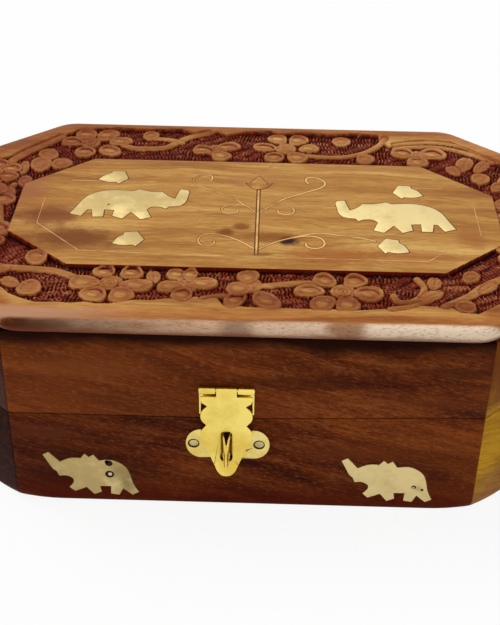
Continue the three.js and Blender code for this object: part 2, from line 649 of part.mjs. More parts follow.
// Half of the flap's edge, from the neck's foot down to the tip
const flapEdge = [
  [9.4, 10.1], [8.9, 7.3], [6.9, 5.8], [8.9, 3.3, 1], [9.4, 1, 1], [8.9, -1, 1], [7.3, -3], [9, -5.4, 1],
  [9.4, -7.4, 1], [9.1, -9.7], [5.9, -17.9], [4.5, tipCrease], [3.5, -24.3, 1], [1.9, -26.1, 1],
  [0, -26.6, 1],
];

function haspFlap() {
  const left = flapEdge.slice(0, -1).reverse().map(([x, y, smooth]) => [-x, y, smooth]);
  const outline = drawnOutline([...flapEdge, ...left]).reverse();
  const sheet = prism(outline, flapBack, sheetThickness);
  const flat = block([-plateWidth, tipCrease, 0], [plateWidth, plateWidth, stapleProtrusion]);
  const kick = sheet.subtract(flat).translate([0, -tipCrease, -flapBack])
    .rotate([-tipKick, 0, 0]).translate([0, tipCrease, flapBack]);
  const creaseHalf = flapEdge.find(([, y]) => y === tipCrease)[0];
  const inSheet = block([-plateWidth, -plateWidth, flapBack], [plateWidth, 0, flapFront]);
  const crease = rodAlongX(sheetThickness, -creaseHalf, creaseHalf, smallSteps)
    .translate([0, tipCrease, flapBack]).intersect(inSheet);
  const half = flapNeckWidth / 2;
  const neck = block([-half, 0, flapBack], [half, barrelRise, flapFront]);
  const slot = new THREE.Shape();
  const middle = (slotTop + slotBottom) / 2;
  slot.absellipse(0, slotTop - slotWidth / 2, slotWidth / 2, slotWidth / 2, 0, Math.PI);
  slot.absellipse(0, slotBottom + slotWidth / 2, slotWidth / 2, slotWidth / 2, Math.PI, 2 * Math.PI);
  const opening = prism(slot.getPoints(6), flapBack - past, sheetThickness + 2 * past);
  return sheet.intersect(flat).add(kick).add(crease).add(neck).add(barrel(barrelRadius, -half, half))
    .subtract(barrel(haspPinRadius + pinGap, -haspLeafWidth, haspLeafWidth)).subtract(opening);
}

function staplePlate() {
  const straight = plateWidth / 2 - plateLobe;
  const shape = new THREE.Shape();
  shape.absellipse(straight, 0, plateLobe, plateHeight / 2, -Math.PI / 2, Math.PI / 2);
  shape.absellipse(-straight, 0, plateLobe, plateHeight / 2, Math.PI / 2, Math.PI * 1.5);
  const blank = prism(shape.getPoints(10), sheetBack, sheetThickness);
  let plate = blank.translate([platePlace.x, platePlace.y, 0]);
  plate = plate.subtract(stapleRoom());
  for (const spot of plateNails) plate = plate.subtract(nailForm(glueGap).translate(spot));
  return plate;
}

// The staple is one strip folded like a hairpin: two cheeks that close on a narrow nose
function haspStaple() {
  const wide = stapleWidth / 2;
  const nose = stapleNoseWidth / 2;
  const hairpin = [
    [-wide, -stapleTail], [-wide + stapleSheet, -stapleTail], [-wide + stapleSheet, sheetFront],
    [0, stapleProtrusion - stapleSheet * 2],
    [wide - stapleSheet, sheetFront], [wide - stapleSheet, -stapleTail],
    [wide, -stapleTail], [wide, sheetFront], [nose, stapleProtrusion - nose], [nose / 2, stapleProtrusion],
    [-nose / 2, stapleProtrusion], [-nose, stapleProtrusion - nose], [-wide, sheetFront],
  ].map(([x, z]) => new THREE.Vector2(x, z));
  const cheeks = prism(hairpin, 0, stapleTop - stapleBottom).rotate([90, 0, 0]).translate([0, stapleTop, 0]);
  const side = drawnOutline([
    [-stapleTail, stapleTop], [sheetFront, stapleTop],
    [(sheetFront + 2 * stapleProtrusion) / 3, (stapleTop + stapleNoseTop) / 2, 1],
    [stapleProtrusion, stapleNoseTop], [stapleProtrusion, stapleBottom], [-stapleTail, stapleBottom],
  ]).reverse();
  const profile = prism(side, -stapleWidth, 2 * stapleWidth).rotate([0, -90, 0]);
  const eye = rodAlongX(shackleRadius, -stapleWidth, stapleWidth, smallSteps)
    .translate([0, (stapleNoseTop + stapleBottom) / 2, flapFront + shackleRadius]);
  return cheeks.intersect(profile).subtract(eye);
}

function stapleRoom() {
  const half = stapleWidth / 2 + glueGap;
  return block([-half, stapleBottom - glueGap, -stapleTail - glueGap], [half, stapleTop + glueGap, past * 2]);
}

// Inlays

function inlaySheet(outline, top) {
  return prism(outline, top - inlayThickness, inlayThickness);
}

function inlayPocket(outline, top) {
  const depth = inlayThickness + glueGap;
  return prism(grownOutline(outline, glueGap), top - depth, depth + past);
}

const standing = drawnOutline(saddledElephant).reverse();
const frontElephants = ['left', 'right'].map((side) => ({
  name: `front_elephant_${side}`,
  x: sideSign[side] * (frontWallHalf - frontElephantFromEnd[side]),
  height: frontElephantHeight[side],
  outline: turnedAndMoved(standing, frontElephantTurn[side], 0, 0),
}));

// Lid ornaments face the middle, so each one on the left is the mirror of the drawn one
function onPanel(outline, side, inward, behind, turn) {
  const x = stemOffset + sideSign[side] * (elephantFromStem[side] - inward);
  const y = panelMiddle + elephantFromMiddle[side] + behind;
  return turnedAndMoved(side === 'left' ? mirrored(outline) : outline, turn, x, y);
}

const walking = drawnOutline(walkingElephant).reverse();
const leaf = drawnOutline(pointedLeaf);
const stemFront = panelMiddle + stemFromMiddle;
const stemBack = stemFront + stemLength;
const lidSheets = [
  ...['left', 'right'].map((side) => (
    [`lid_elephant_${side}`, onPanel(walking, side, 0, 0, elephantTurn[side])]
  )),
  ...Object.keys(leafTurn).map((spot) => {
    const side = spot.endsWith('left') ? 'left' : 'right';
    return [`lid_leaf_${spot}`, onPanel(leaf, side, leafInward[spot], leafBehind[spot], leafTurn[spot])];
  }),
  ['lid_lotus', turnedAndMoved(drawnOutline(lotus), 0, stemOffset, stemBack + glueGap)],
];

// The lower vine drawn out sideways from its foot, so that its curl reaches as far as it should
function reaching(reach) {
  const foot = lowerVine[0][0];
  const stretch = (reach - foot) / (Math.max(...lowerVine.map(([x]) => x)) - foot);
  return lowerVine.map(([x, y]) => [foot + (x - foot) * stretch, y]);
}

const vines = [
  { name: 'lid_vine_upper_left', lines: [upperVine, middleCurl], side: 'left' },
  { name: 'lid_vine_upper_right', lines: [upperVine, middleCurl], side: 'right' },
  { name: 'lid_vine_lower_left', lines: [reaching(lowerVineReach.left)], side: 'left' },
  { name: 'lid_vine_lower_right', lines: [reaching(lowerVineReach.right), leafTendril], side: 'right' },
];

function wire({ lines, side }, width, thickness, top) {
  return lines.map((line) => {
    const drawn = strip(line, width);
    const shown = side === 'left' ? mirrored(drawn) : drawn;
    return prism(shown, top - thickness, thickness).translate([stemOffset, panelMiddle, 0]);
  }).reduce((joined, next) => joined.add(next));
}

function stemForm(room) {
  const half = wireWidth / 2 + room;
  return block(
    [stemOffset - half, stemFront - room, plankTop - inlayThickness - room],
    [stemOffset + half, stemBack + room / 2, plankTop + (room ? past : 0)],
  );
}

// A point of the border from the middle of a side's edge
function borderSpot({ side, along, inward }) {
  const i = sideNames.indexOf(side);
  const [start, end] = [plankOutline[i], plankOutline[(i + 1) % sideNames.length]];
  const run = end.clone().sub(start).normalize();
  return start.clone().add(end).multiplyScalar(0.5).addScaledVector(run, along)
    .add({ x: -run.y * inward, y: run.x * inward });
}

function petalForm(x, y, long, wide, degrees) {
  const bottom = plankTop - carveDepth - reliefRoot;
  const top = plankTop - reliefDrop;
  return turned([[0, bottom], [reliefFoot, bottom], [1, top], [0, top]], petalSteps)
    .scale([long, wide, 1]).rotate([0, 0, degrees]).translate([x, y, 0]);
}

function reliefForms() {
  const forms = [];
  for (const flower of carvedFlowers) {
    const middle = borderSpot(flower);
    if (flower.petals.length === wholeFlower) {
      forms.push(petalForm(middle.x, middle.y, flowerButton, flowerButton, 0));
    }
    for (const [dx, dy, long, wide] of flower.petals) {
      const degrees = THREE.MathUtils.radToDeg(Math.atan2(dy, dx));
      forms.push(petalForm(middle.x + dx, middle.y + dy, long, wide, degrees));
    }
  }
  for (const [side, along, inward, long, wide, degrees] of carvedLeaves) {
    const { x, y } = borderSpot({ side, along, inward });
    forms.push(petalForm(x, y, long, wide, degrees));
  }
  for (const vine of carvedVines) {
    const { x, y } = borderSpot(vine);
    const bottom = plankTop - carveDepth - reliefRoot;
    const band = prism(strip(vine.line, vine.width, 2), bottom, plankTop - reliefDrop - bottom);
    forms.push(band.translate([x, y, 0]));
  }
  return forms.reduce((joined, form) => joined.add(form));
}

function carvedPlank() {
  const shape = new THREE.Shape(roundedOutline(plankOutline, plankCornerRadius));
  const geometry = new THREE.ExtrudeGeometry(shape, {
    depth: plankThickness - 2 * noseRadius,
    bevelThickness: noseRadius,
    bevelSize: noseRadius,
    bevelOffset: -noseRadius,
    bevelSegments: 4,
  });
  const rims = sideNames.map((name) => borderRims[name]);
  const border = prism(insetOutline(plankOutline, rims), plankTop - carveDepth, carveDepth + past);
  const panel = prism(panelOutline, plankUnderside, plankThickness + 2 * past);
  const ground = border.subtract(panel).subtract(reliefForms());
  let plank = toSolid(geometry.translate(0, 0, plankUnderside + noseRadius)).subtract(ground);
  for (const [, outline] of lidSheets) plank = plank.subtract(inlayPocket(outline, plankTop));
  for (const vine of vines) {
    const groove = wire(vine, wireWidth + 2 * glueGap, inlayThickness + glueGap + past, plankTop + past);
    plank = plank.subtract(groove);
  }
  return plank.subtract(stemForm(glueGap));
}

// Base

sideNames.forEach((name, side) => {
  let board = wallBoard(side, 0, seamHeight + lidWallHeight).subtract(aboveSeam(-seamGap / 2));
  if (name.startsWith('back')) board = withStopBevel(board, -1);
  if (name === 'back') {
    for (const x of [-hingeSpacing / 2, hingeSpacing / 2]) board = board.subtract(hingeMortise(x, -1));
  }
  if (name === 'front') {
    for (const { x, height, outline } of frontElephants) {
      board = board.subtract(onFront(inlayPocket(outline, frontInlayProud), x, height));
    }
    board = board.subtract(onFront(stapleRoom()));
    for (const spot of plateNails) board = board.subtract(onFront(nailForm(glueGap).translate(spot)));
  }
  place(base, `base_${name}_wall`, board, side % 2 ? 'paleWood' : 'wood');
});

place(base, 'base_bottom_board', prism(boardOutline, 0, bottomThickness), 'wood');
const floorBottom = bottomThickness + glueGap / 2;
place(base, 'base_floor_lining', prism(boardOutline, floorBottom, liningThickness), 'velvet');
const baseLiningBottom = floorBottom + liningThickness + glueGap / 2;
const baseLining = prism(boardOutline, baseLiningBottom, seamHeight, [liningOutline])
  .subtract(aboveSeam(-seamGap / 2 - liningReveal));
place(base, 'base_wall_lining', baseLining, 'velvet');

for (const { name, x, height, outline } of frontElephants) {
  place(base, name, onFront(inlaySheet(outline, frontInlayProud), x, height), 'inlay');
}
place(base, 'staple_plate', onFront(staplePlate()), 'brass');
place(base, 'hasp_staple', onFront(haspStaple()), 'brass');
['left', 'right'].forEach((side, i) => {
  place(base, `staple_plate_nail_${side}`, onFront(nailForm(0).translate(plateNails[i])), 'steel');
});

// Lid

sideNames.forEach((name, side) => {
  let board = wallBoard(side, 0, seamHeight + lidWallHeight).intersect(aboveSeam(seamGap / 2));
  if (name.startsWith('back')) board = withStopBevel(board, 1);
  if (name === 'back') {
    for (const x of [-hingeSpacing / 2, hingeSpacing / 2]) board = board.subtract(hingeMortise(x, 1));
  }
  if (name === 'front') {
    for (const spot of leafNails) board = board.subtract(onFront(nailForm(glueGap).translate(spot)));
  }
  place(lid, `lid_${name}_wall`, board, side % 2 ? 'paleWood' : 'wood');
});

place(lid, 'lid_carved_plank', carvedPlank(), 'plank');
const ceilingTop = plankUnderside - glueGap / 2;
const ceilingLining = prism(boardOutline, ceilingTop - liningThickness, liningThickness);
place(lid, 'lid_ceiling_lining', ceilingLining, 'velvet');
const lidLiningTop = ceilingTop - liningThickness - glueGap / 2;
const lidLining = prism(boardOutline, seamHeight, lidLiningTop - seamHeight, [liningOutline])
  .intersect(aboveSeam(seamGap / 2 + liningReveal));
place(lid, 'lid_wall_lining', lidLining, 'velvet');

for (const [name, outline] of lidSheets) {
  place(lid, name, inlaySheet(outline, plankTop), name === 'lid_lotus' ? 'bronze' : 'inlay');
}
place(lid, 'lid_stem', stemForm(0), 'bronze');
for (const vine of vines) {
  place(lid, vine.name, wire(vine, wireWidth, inlayThickness, plankTop), 'bronze');
}

placeHinge('left', -hingeSpacing / 2);
placeHinge('right', hingeSpacing / 2);

place(lid, 'hasp_leaf', onFront(haspLeaf()), 'brass');
const haspPinHalf = haspLeafWidth / 2 + workGap / 2;
place(lid, 'hasp_pin', onFront(barrel(haspPinRadius, -haspPinHalf, haspPinHalf)), 'brass');
['left', 'right'].forEach((side, i) => {
  place(lid, `hasp_leaf_nail_${side}`, onFront(nailForm(0).translate(leafNails[i])), 'steel');
});
place(flapHinge, 'hasp_flap', onFront(haspFlap()), 'brass');

export default box;
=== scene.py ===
# Carved hardwood box with brass inlay: eight boards round the base and the lid, a carved plank on top,
# butt hinges behind and a hasp in front. Lengths in the dictionaries are millimetres.
import json
import math
from functools import partial

import bmesh
import bpy
import numpy as np
from mathutils import Matrix, Vector


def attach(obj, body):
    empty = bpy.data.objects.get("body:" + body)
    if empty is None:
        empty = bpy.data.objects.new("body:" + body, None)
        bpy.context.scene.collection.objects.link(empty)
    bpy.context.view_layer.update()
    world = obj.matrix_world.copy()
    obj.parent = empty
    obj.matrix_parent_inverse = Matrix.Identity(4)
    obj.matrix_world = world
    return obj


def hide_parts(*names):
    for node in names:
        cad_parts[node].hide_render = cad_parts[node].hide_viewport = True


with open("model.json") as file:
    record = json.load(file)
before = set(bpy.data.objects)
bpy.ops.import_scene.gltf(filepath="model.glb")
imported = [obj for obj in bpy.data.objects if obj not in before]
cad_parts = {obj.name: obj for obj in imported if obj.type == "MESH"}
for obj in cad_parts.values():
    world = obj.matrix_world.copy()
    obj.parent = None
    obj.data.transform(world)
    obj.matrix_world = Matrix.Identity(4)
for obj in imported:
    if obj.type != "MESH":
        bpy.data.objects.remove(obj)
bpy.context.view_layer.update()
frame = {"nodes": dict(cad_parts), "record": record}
mm = 0.001
sideNames = ["front", "front_right", "right", "back_right", "back", "back_left", "left", "front_left"]

plan = {
    "length": 254, "depth": 152.4,              # the carved top
    "cornerAlong": 43.2, "cornerAcross": 38.1,  # what each cut corner takes off
    "overhang": 2.3, "cornerOverhang": 0.1,     # how far the top stands out over the boards
    "plankTop": 86.0, "carveDepth": 2.2,
    "boardFront": -73.9, "inlayFront": -74.2,   # front faces of the boards and of what is let into them
    "borderWidths": [34.4, 34, 30.5, 35.4, 34.2, 36.7, 33.7, 36.8],  # edge to panel, from the front round
}


# Camera, at the photograph's angle

camera = {
    "elevation": 34.92, "turn": 0.95, "roll": 0.93,
    "target": (-0.33, 0, 38.2), "distance": 505.6, "lens": 70.44,
}


def placeCamera():
    up, turn = math.radians(camera["elevation"]), math.radians(camera["turn"])
    back = Vector((math.sin(turn) * math.cos(up), -math.cos(turn) * math.cos(up), math.sin(up)))
    right = Vector((math.cos(turn), math.sin(turn), 0))
    pose = Matrix((right, back.cross(right), back)).transposed().to_4x4()
    pose.translation = (Vector(camera["target"]) + back * camera["distance"]) * mm
    lens = bpy.data.cameras.new("camera")
    lens.lens = camera["lens"]
    lens.sensor_width = 36
    lens.clip_start = 0.01
    seen = bpy.data.objects.new("camera", lens)
    seen.matrix_world = pose @ Matrix.Rotation(math.radians(camera["roll"]), 4, "Z")
    bpy.context.scene.collection.objects.link(seen)
    bpy.context.scene.camera = seen


placeCamera()
bpy.context.scene.view_settings.view_transform = "Standard"
print("camera placed")


# Node trees

def fill(tree, socket, value):
    if isinstance(value, bpy.types.NodeSocket):
        tree.links.new(value, socket)
    else:
        socket.default_value = value


def put(tree, kind, sockets=None, **settings):
    made = tree.nodes.new("ShaderNode" + kind)
    for name, value in settings.items():
        setattr(made, name, value)
    for name, value in (sockets or {}).items():
        fill(tree, made.inputs[name], value)
    return made


def maths(operation, tree, first, second=0.0, clamp=False):
    return put(tree, "Math", {0: first, 1: second}, operation=operation, use_clamp=clamp).outputs[0]


plus, minus, times, larger, unsigned = (
    partial(maths, operation) for operation in ("ADD", "SUBTRACT", "MULTIPLY", "MAXIMUM", "ABSOLUTE"))


def vectors(tree, operation, first, second, output=0):
    return put(tree, "VectorMath", {0: first, 1: second}, operation=operation).outputs[output]


def nudged(tree, value, pattern, amount):       # a place or height that a pattern moves a little
    return plus(tree, value, times(tree, pattern, amount))


def spread(tree, value, low, high, toLow=0.0, toHigh=1.0):
    numbers = dict(enumerate((value, low, high, toLow, toHigh)))
    return put(tree, "MapRange", numbers, interpolation_type="SMOOTHSTEP").outputs[0]


def mixed(tree, factor, first, second, blend="MIX"):
    return put(tree, "Mix", {0: factor, 6: first, 7: second}, data_type="RGBA", blend_type=blend).outputs[2]


def over(tree, colour, shade, mask, low, high, strength=1.0):   # the shade, where the mask nears high
    return mixed(tree, spread(tree, mask, low, high, 0.0, strength), colour, shade)


def tinted(tree, colour, tint, mask):
    return mixed(tree, mask, colour, mixed(tree, 1.0, colour, tint, "MULTIPLY"))


def threeTones(tree, value, look):
    made = put(tree, "ValToRGB", {0: value})
    points = made.color_ramp.elements
    points.new(0.5)
    for point, at, shade in zip(points, look["toneStops"], ("dark", "middle", "light")):
        point.position = at
        point.color = look[shade]
    return made.outputs[0]


def tone(red, green, blue):
    levels = [level / 255 for level in (red, green, blue)]
    linear = [v / 12.92 if v <= 0.04045 else ((v + 0.055) / 1.055) ** 2.4 for v in levels]
    return (*linear, 1.0)


def noise(tree, vector, scale, detail=4.0, roughness=0.5, distortion=0.0):
    made = put(tree, "TexNoise", {"Vector": vector, "Scale": scale, "Detail": detail,
                                  "Roughness": roughness, "Distortion": distortion})
    return made.outputs[0]


def mapped(tree, vector, **changes):
    return put(tree, "Mapping", {"Vector": vector, **changes}).outputs[0]


def streaks(tree, vector, stretch, scale, detail, roughness):   # noise drawn out along the grain
    return noise(tree, mapped(tree, vector, Scale=(stretch, 1, 1)), scale, detail, roughness)


def shaderGroup(name, inputs, outputs):
    tree = bpy.data.node_groups.new(name, "ShaderNodeTree")
    for label, kind, value in inputs:
        socket = tree.interface.new_socket(label, in_out="INPUT", socket_type=kind)
        if value is not None:
            socket.default_value = value
    for label in outputs:
        tree.interface.new_socket(label, in_out="OUTPUT", socket_type="NodeSocketFloat")
    return tree, tree.nodes.new("NodeGroupInput").outputs, tree.nodes.new("NodeGroupOutput").inputs


def makeGrain():
    tree, given, result = shaderGroup(
        "woodGrain",
        [("Vector", "NodeSocketVector", None), ("Along", "NodeSocketFloat", 12.0),
         ("Across", "NodeSocketFloat", 120.0), ("Bend", "NodeSocketFloat", 0.01)],
        ["Figure", "Fibre", "Pore", "Line"])
    drift = put(tree, "TexNoise", {"Vector": given["Vector"], "Scale": 14.0, "Detail": 2.0}).outputs[1]
    drift = vectors(tree, "SUBTRACT", drift, (0.5, 0.5, 0.5))
    drift = put(tree, "VectorMath", {0: drift, "Scale": given["Bend"]}, operation="SCALE").outputs[0]
    bent = vectors(tree, "ADD", given["Vector"], drift)
    stretch = put(tree, "CombineXYZ", {"X": given["Along"], "Y": given["Across"], "Z": given["Across"]}).outputs[0]
    lines = vectors(tree, "MULTIPLY", bent, stretch)
    tree.links.new(noise(tree, lines, 1.0, 5.0, 0.6, 0.4), result["Figure"])
    tree.links.new(noise(tree, lines, 12.0, 3.0, 0.6), result["Fibre"])
    tree.links.new(spread(tree, noise(tree, lines, 22.0, 1.0, 0.5), 0.6, 0.7), result["Pore"])
    level = minus(tree, noise(tree, lines, 1.7, 2.0, 0.45, 0.3), 0.5)
    tree.links.new(spread(tree, unsigned(tree, level), 0.03, 0.004), result["Line"])
    return tree


grainGroup = makeGrain()


def placeGrain(tree, vector, along, across, bend):
    sockets = {"Vector": vector, "Along": along, "Across": across, "Bend": bend}
    return put(tree, "Group", sockets, node_tree=grainGroup).outputs


def newMaterial(name):
    made = bpy.data.materials.new(name)
    made.use_nodes = True
    tree = made.node_tree
    return made, tree, tree.nodes["Principled BSDF"], put(tree, "TexCoord").outputs["Object"]


flatSockets = {"specular": "Specular IOR Level", "metallic": "Metallic", "sheen": "Sheen Weight",
               "sheenTint": "Sheen Tint", "sheenRoughness": "Sheen Roughness"}


def dress(tree, shader, colour, roughness, relief, depth, strength=0.5, **flat):
    fill(tree, shader.inputs["Base Color"], colour)
    fill(tree, shader.inputs["Roughness"], roughness)
    for name, value in flat.items():            # one value all over the surface
        shader.inputs[flatSockets[name]].default_value = value
    made = put(tree, "Bump", {"Height": relief, "Distance": depth, "Strength": strength})
    tree.links.new(made.outputs[0], shader.inputs["Normal"])


# The carved top's wood. Each pair says where a zone starts and where it is full.

plankWood = {
    "light": tone(220, 174, 98), "middle": tone(192, 138, 68), "dark": tone(152, 94, 40), "line": tone(136, 80, 36),
    "toneStops": (0.33, 0.5, 0.65),
    "leftShade": tone(204, 152, 128), "leftward": (-20, -100),
    "rimShade": tone(226, 190, 184), "rimward": (-12, -6),
    "carvedShade": tone(222, 190, 202), "stainAndShade": tone(112, 24, 10), "deep": tone(40, 8, 4),
    "glint": tone(206, 150, 128),
    # knots and clouds in the panel: x, y, half length, half width, colour, strength
    "marks": [
        (2, 27, 13, 8, tone(172, 104, 64), 0.45), (-79, -6, 14, 9, tone(124, 62, 28), 0.8),
        (-67, -22, 17, 8, tone(120, 62, 26), 0.85), (-90, 18, 9, 14, tone(160, 100, 66), 0.55),
        (-30, 40, 50, 2.4, tone(150, 90, 42), 0.55), (50, 38, 40, 2.6, tone(166, 108, 60), 0.45),
        (24, 30, 22, 2.0, tone(158, 100, 48), 0.4), (8, -18.5, 13, 4.4, tone(138, 80, 28), 0.8),
        (31, -30, 18, 9, tone(156, 82, 28), 0.65), (62, -30, 20, 6, tone(164, 94, 38), 0.5),
        (-28, -34, 26, 1.6, tone(150, 92, 36), 0.5), (-40, 6, 20, 2.2, tone(156, 98, 44), 0.35),
        (84, -16, 6, 9, tone(158, 90, 42), 0.5), (10, 4, 30, 1.8, tone(160, 102, 48), 0.3),
        (-9.8, -15.1, 3.6, 3.4, tone(120, 62, 14), 0.9), (-3.9, -11.3, 4.0, 3.0, tone(126, 68, 18), 0.85),
        (14.1, -20.9, 3.8, 3.2, tone(44, 12, 2), 1.0), (5, -30.5, 4, 1.2, tone(120, 66, 20), 0.7),
    ],
}
nose = {                                        # the round front edge: a painted highlight, paler to the right, painted sheen on the flat top behind it, darker along its underside
    "left": tone(62, 24, 10), "middle": tone(214, 172, 138), "right": tone(246, 220, 190), "low": tone(112, 52, 22),
    "lean": -0.009,                             # the painted highlight band drifts forward to the right
    "front": (-72.8, -74.6), "above": (79.5, 80.5), "below": (83.8, 81), "toMiddle": (-88, -14), "toRight": (-20, 60),
    "rim": tone(192, 146, 116), "rimFront": (-66, -69), "rimBack": (-74.1, -73.2), "rimLeft": (-30, -80),
    "spots": [(-3, 0.6, tone(112, 82, 62)), (34, 0.8, tone(150, 98, 62))],      # x, strength, colour
    "spotReach": (9, 2),
}


def metres(lengths):
    return [length * mm for length in lengths]


def edgeDistance(tree, parts):
    along, across = unsigned(tree, parts["X"]), unsigned(tree, parts["Y"])
    end = minus(tree, along, plan["length"] / 2 * mm)
    side = minus(tree, across, plan["depth"] / 2 * mm)
    reach = math.hypot(plan["cornerAlong"], plan["cornerAcross"])
    slopeX, slopeY = plan["cornerAcross"] / reach, plan["cornerAlong"] / reach
    corner = slopeX * plan["length"] / 2 + slopeY * (plan["depth"] / 2 - plan["cornerAcross"])
    slanted = plus(tree, times(tree, along, slopeX), times(tree, across, slopeY))
    return larger(tree, larger(tree, end, side), minus(tree, slanted, corner * mm))


def marked(tree, place, colour, marks, front=False):
    blur = times(tree, minus(tree, noise(tree, place, 260.0, 4.0, 0.6), 0.5), 1.1)
    for x, up, long, wide, shade, strength in marks:
        spot = (x, plan["boardFront"], up) if front else (x, up, plan["plankTop"])
        share = (1 / (long * mm), 16, 1 / (wide * mm)) if front else (1 / (long * mm), 1 / (wide * mm), 0)
        away = vectors(tree, "MULTIPLY", vectors(tree, "SUBTRACT", place, metres(spot)), share)
        reach = plus(tree, put(tree, "VectorMath", {0: away}, operation="LENGTH").outputs["Value"], blur)
        colour = over(tree, colour, shade, reach, 1.25, 0.35, strength)
    return colour


def wornNose(tree, place, parts, colour):
    dash = streaks(tree, place, 0.22, 2300.0, 4.0, 0.7)
    wide = streaks(tree, place, 0.3, 160.0, 3.0, 0.6)
    drift = minus(tree, wide, 0.5)
    front = nudged(tree, nudged(tree, parts["Y"], parts["X"], nose["lean"]), drift, 0.002)
    along = nudged(tree, parts["X"], drift, 0.06)
    onNose = times(tree, spread(tree, front, *metres(nose["front"])), spread(tree, parts["Z"], *metres(nose["above"])))
    # painted sheen on the flat top just behind the nose, towards the left
    rim = times(tree, spread(tree, front, *metres(nose["rimFront"])),
                spread(tree, along, *metres(nose["rimLeft"]), 0.0, 0.75))
    rim = times(tree, rim, spread(tree, front, *metres(nose["rimBack"])))
    colour = mixed(tree, rim, colour, nose["rim"])
    # the painted highlight on the nose, dark at the left and pale at the right, broken by darker spots and grain dashes
    pale = over(tree, nose["left"], nose["middle"], along, *metres(nose["toMiddle"]))
    pale = over(tree, pale, nose["right"], along, *metres(nose["toRight"]))
    for x, strength, shade in nose["spots"]:
        near = nudged(tree, unsigned(tree, minus(tree, parts["X"], x * mm)), drift, 0.012)
        pale = over(tree, pale, shade, near, *metres(nose["spotReach"]), strength)
    pale = over(tree, pale, nose["low"], dash, 0.52, 0.64, 0.5)
    colour = mixed(tree, times(tree, onNose, spread(tree, wide, 0.3, 0.5, 0.84, 0.99)), colour, pale)
    # darker along the nose's underside
    height = nudged(tree, parts["Z"], drift, 0.002)
    return over(tree, colour, nose["low"], height, *metres(nose["below"]), 0.8)


def stained(tree, place, colour):
    given, carved = (put(tree, "Attribute", attribute_name=name).outputs["Fac"] for name in ("stainAndShade", "carved"))
    colour = tinted(tree, colour, plankWood["carvedShade"], carved)
    patch = times(tree, minus(tree, noise(tree, place, 260.0, 3.0), 0.5), 0.3)
    patch = times(tree, patch, spread(tree, given, 0.0, 0.1))
    depth = plus(tree, given, patch, clamp=True)
    # wine red in the sunk ground, painted shade in the hollows and creases, painted shadow at the panel's edge; near
    # black where deepest
    colour = over(tree, colour, plankWood["stainAndShade"], depth, 0.08, 0.6)
    colour = over(tree, colour, plankWood["deep"], depth, 0.66, 1.0)
    # painted glints on the carved wood
    paintedGlints = times(tree, spread(tree, noise(tree, place, 420.0, 4.0, 0.65), 0.6, 0.72, 0.0, 0.4), carved)
    return mixed(tree, paintedGlints, colour, plankWood["glint"])


def makePlankWood():
    made, tree, shader, place = newMaterial("plankWood")
    parts = put(tree, "SeparateXYZ", {0: place}).outputs
    grain = placeGrain(tree, place, 6.0, 80.0, 0.014)
    colour = threeTones(tree, grain["Figure"], plankWood)
    aside = nudged(tree, parts["X"], noise(tree, place, 22.0), 0.06)
    colour = tinted(tree, colour, plankWood["leftShade"], spread(tree, aside, *metres(plankWood["leftward"])))
    fromEdge = nudged(tree, edgeDistance(tree, parts), minus(tree, noise(tree, place, 70.0, 4.0), 0.5), 0.008)
    colour = tinted(tree, colour, plankWood["rimShade"], spread(tree, fromEdge, *metres(plankWood["rimward"])))
    colour = mixed(tree, times(tree, grain["Line"], 0.35), colour, plankWood["line"])
    colour = over(tree, colour, plankWood["dark"], grain["Fibre"], 0.35, 0.65, 0.22)
    colour = mixed(tree, times(tree, grain["Pore"], 0.4), colour, plankWood["line"])
    thread = streaks(tree, place, 0.12, 1500.0, 3.0, 0.65)
    colour = over(tree, colour, plankWood["line"], thread, 0.5, 0.34, 0.3)
    colour = over(tree, colour, plankWood["light"], thread, 0.54, 0.7, 0.3)
    colour = wornNose(tree, place, parts, marked(tree, place, colour, plankWood["marks"]))
    rough = nudged(tree, grain["Fibre"], noise(tree, place, 60.0), 1.5)
    dress(tree, shader, stained(tree, place, colour), spread(tree, grain["Fibre"], 0.3, 0.7, 0.34, 0.5),
          rough, 0.0001, specular=0.06)
    return made


# The boards' wood: red-brown, dark at the left front corner (partly its wood, partly painted shade), golden at the
# right front corner

wallWood = {
    "red": {"light": tone(146, 74, 28), "middle": tone(106, 45, 16), "dark": tone(58, 19, 10),
            "toneStops": (0.34, 0.48, 0.66), "pale": 0.35, "speck": 0.4, "foot": 0.7},
    # the left front corner: dark wood, darkened further as painted shade
    "darkAndShaded": {"light": tone(84, 44, 32), "middle": tone(52, 20, 12), "dark": tone(26, 8, 4),
              "toneStops": (0.34, 0.48, 0.66), "pale": 0.1, "speck": 0.15, "foot": 0.2},
    "golden": {"light": tone(216, 164, 46), "middle": tone(192, 140, 36), "dark": tone(146, 96, 24),
               "toneStops": (0.36, 0.48, 0.62), "brown": tone(108, 50, 14), "brownRise": (42, 58),
               "foot": tone(160, 106, 66), "footRise": (20, 6)},
    "pale": tone(166, 100, 52), "foot": tone(92, 26, 10), "shadowUnderTop": tone(26, 6, 4),
    "tilt": -0.26, "goldenTilt": -0.3, "cornerTurn": -0.723,    # slant of the grain, turn of the corner boards
    "seam": (41.5, 44), "footRise": (16, 2), "underLid": (71.5, 77.8),
    # shares of dark and light: x from, x to and strength on the lid, then on the base
    "shares": [("dark", (20, 110), 0.35, (0, -100), 0.45), ("light", (60, -60), 0.3, (20, 100), 0.3)],
    # shades on the front: x, height, half length, half width, colour, strength
    "marks": [(-60, 13, 30, 15, tone(54, 16, 10), 0.6), (60, 14, 24, 14, tone(64, 22, 14), 0.45),
              (-14, 2, 13, 3.2, tone(30, 6, 4), 0.75), (-58, 64, 26, 5, tone(132, 70, 32), 0.5),
              (-74, 34, 16, 4, tone(104, 52, 32), 0.4), (24, 60, 34, 4, tone(54, 18, 8), 0.5),
              (72, 66, 22, 3, tone(52, 16, 8), 0.55), (66, 52, 26, 3, tone(122, 62, 26), 0.35),
              (36, 28, 26, 5, tone(110, 52, 24), 0.4)],
}


def alongBoard(tree, place, turn, tilt):
    return mapped(tree, mapped(tree, place, Rotation=(0, 0, turn)), Rotation=(0, tilt, 0))


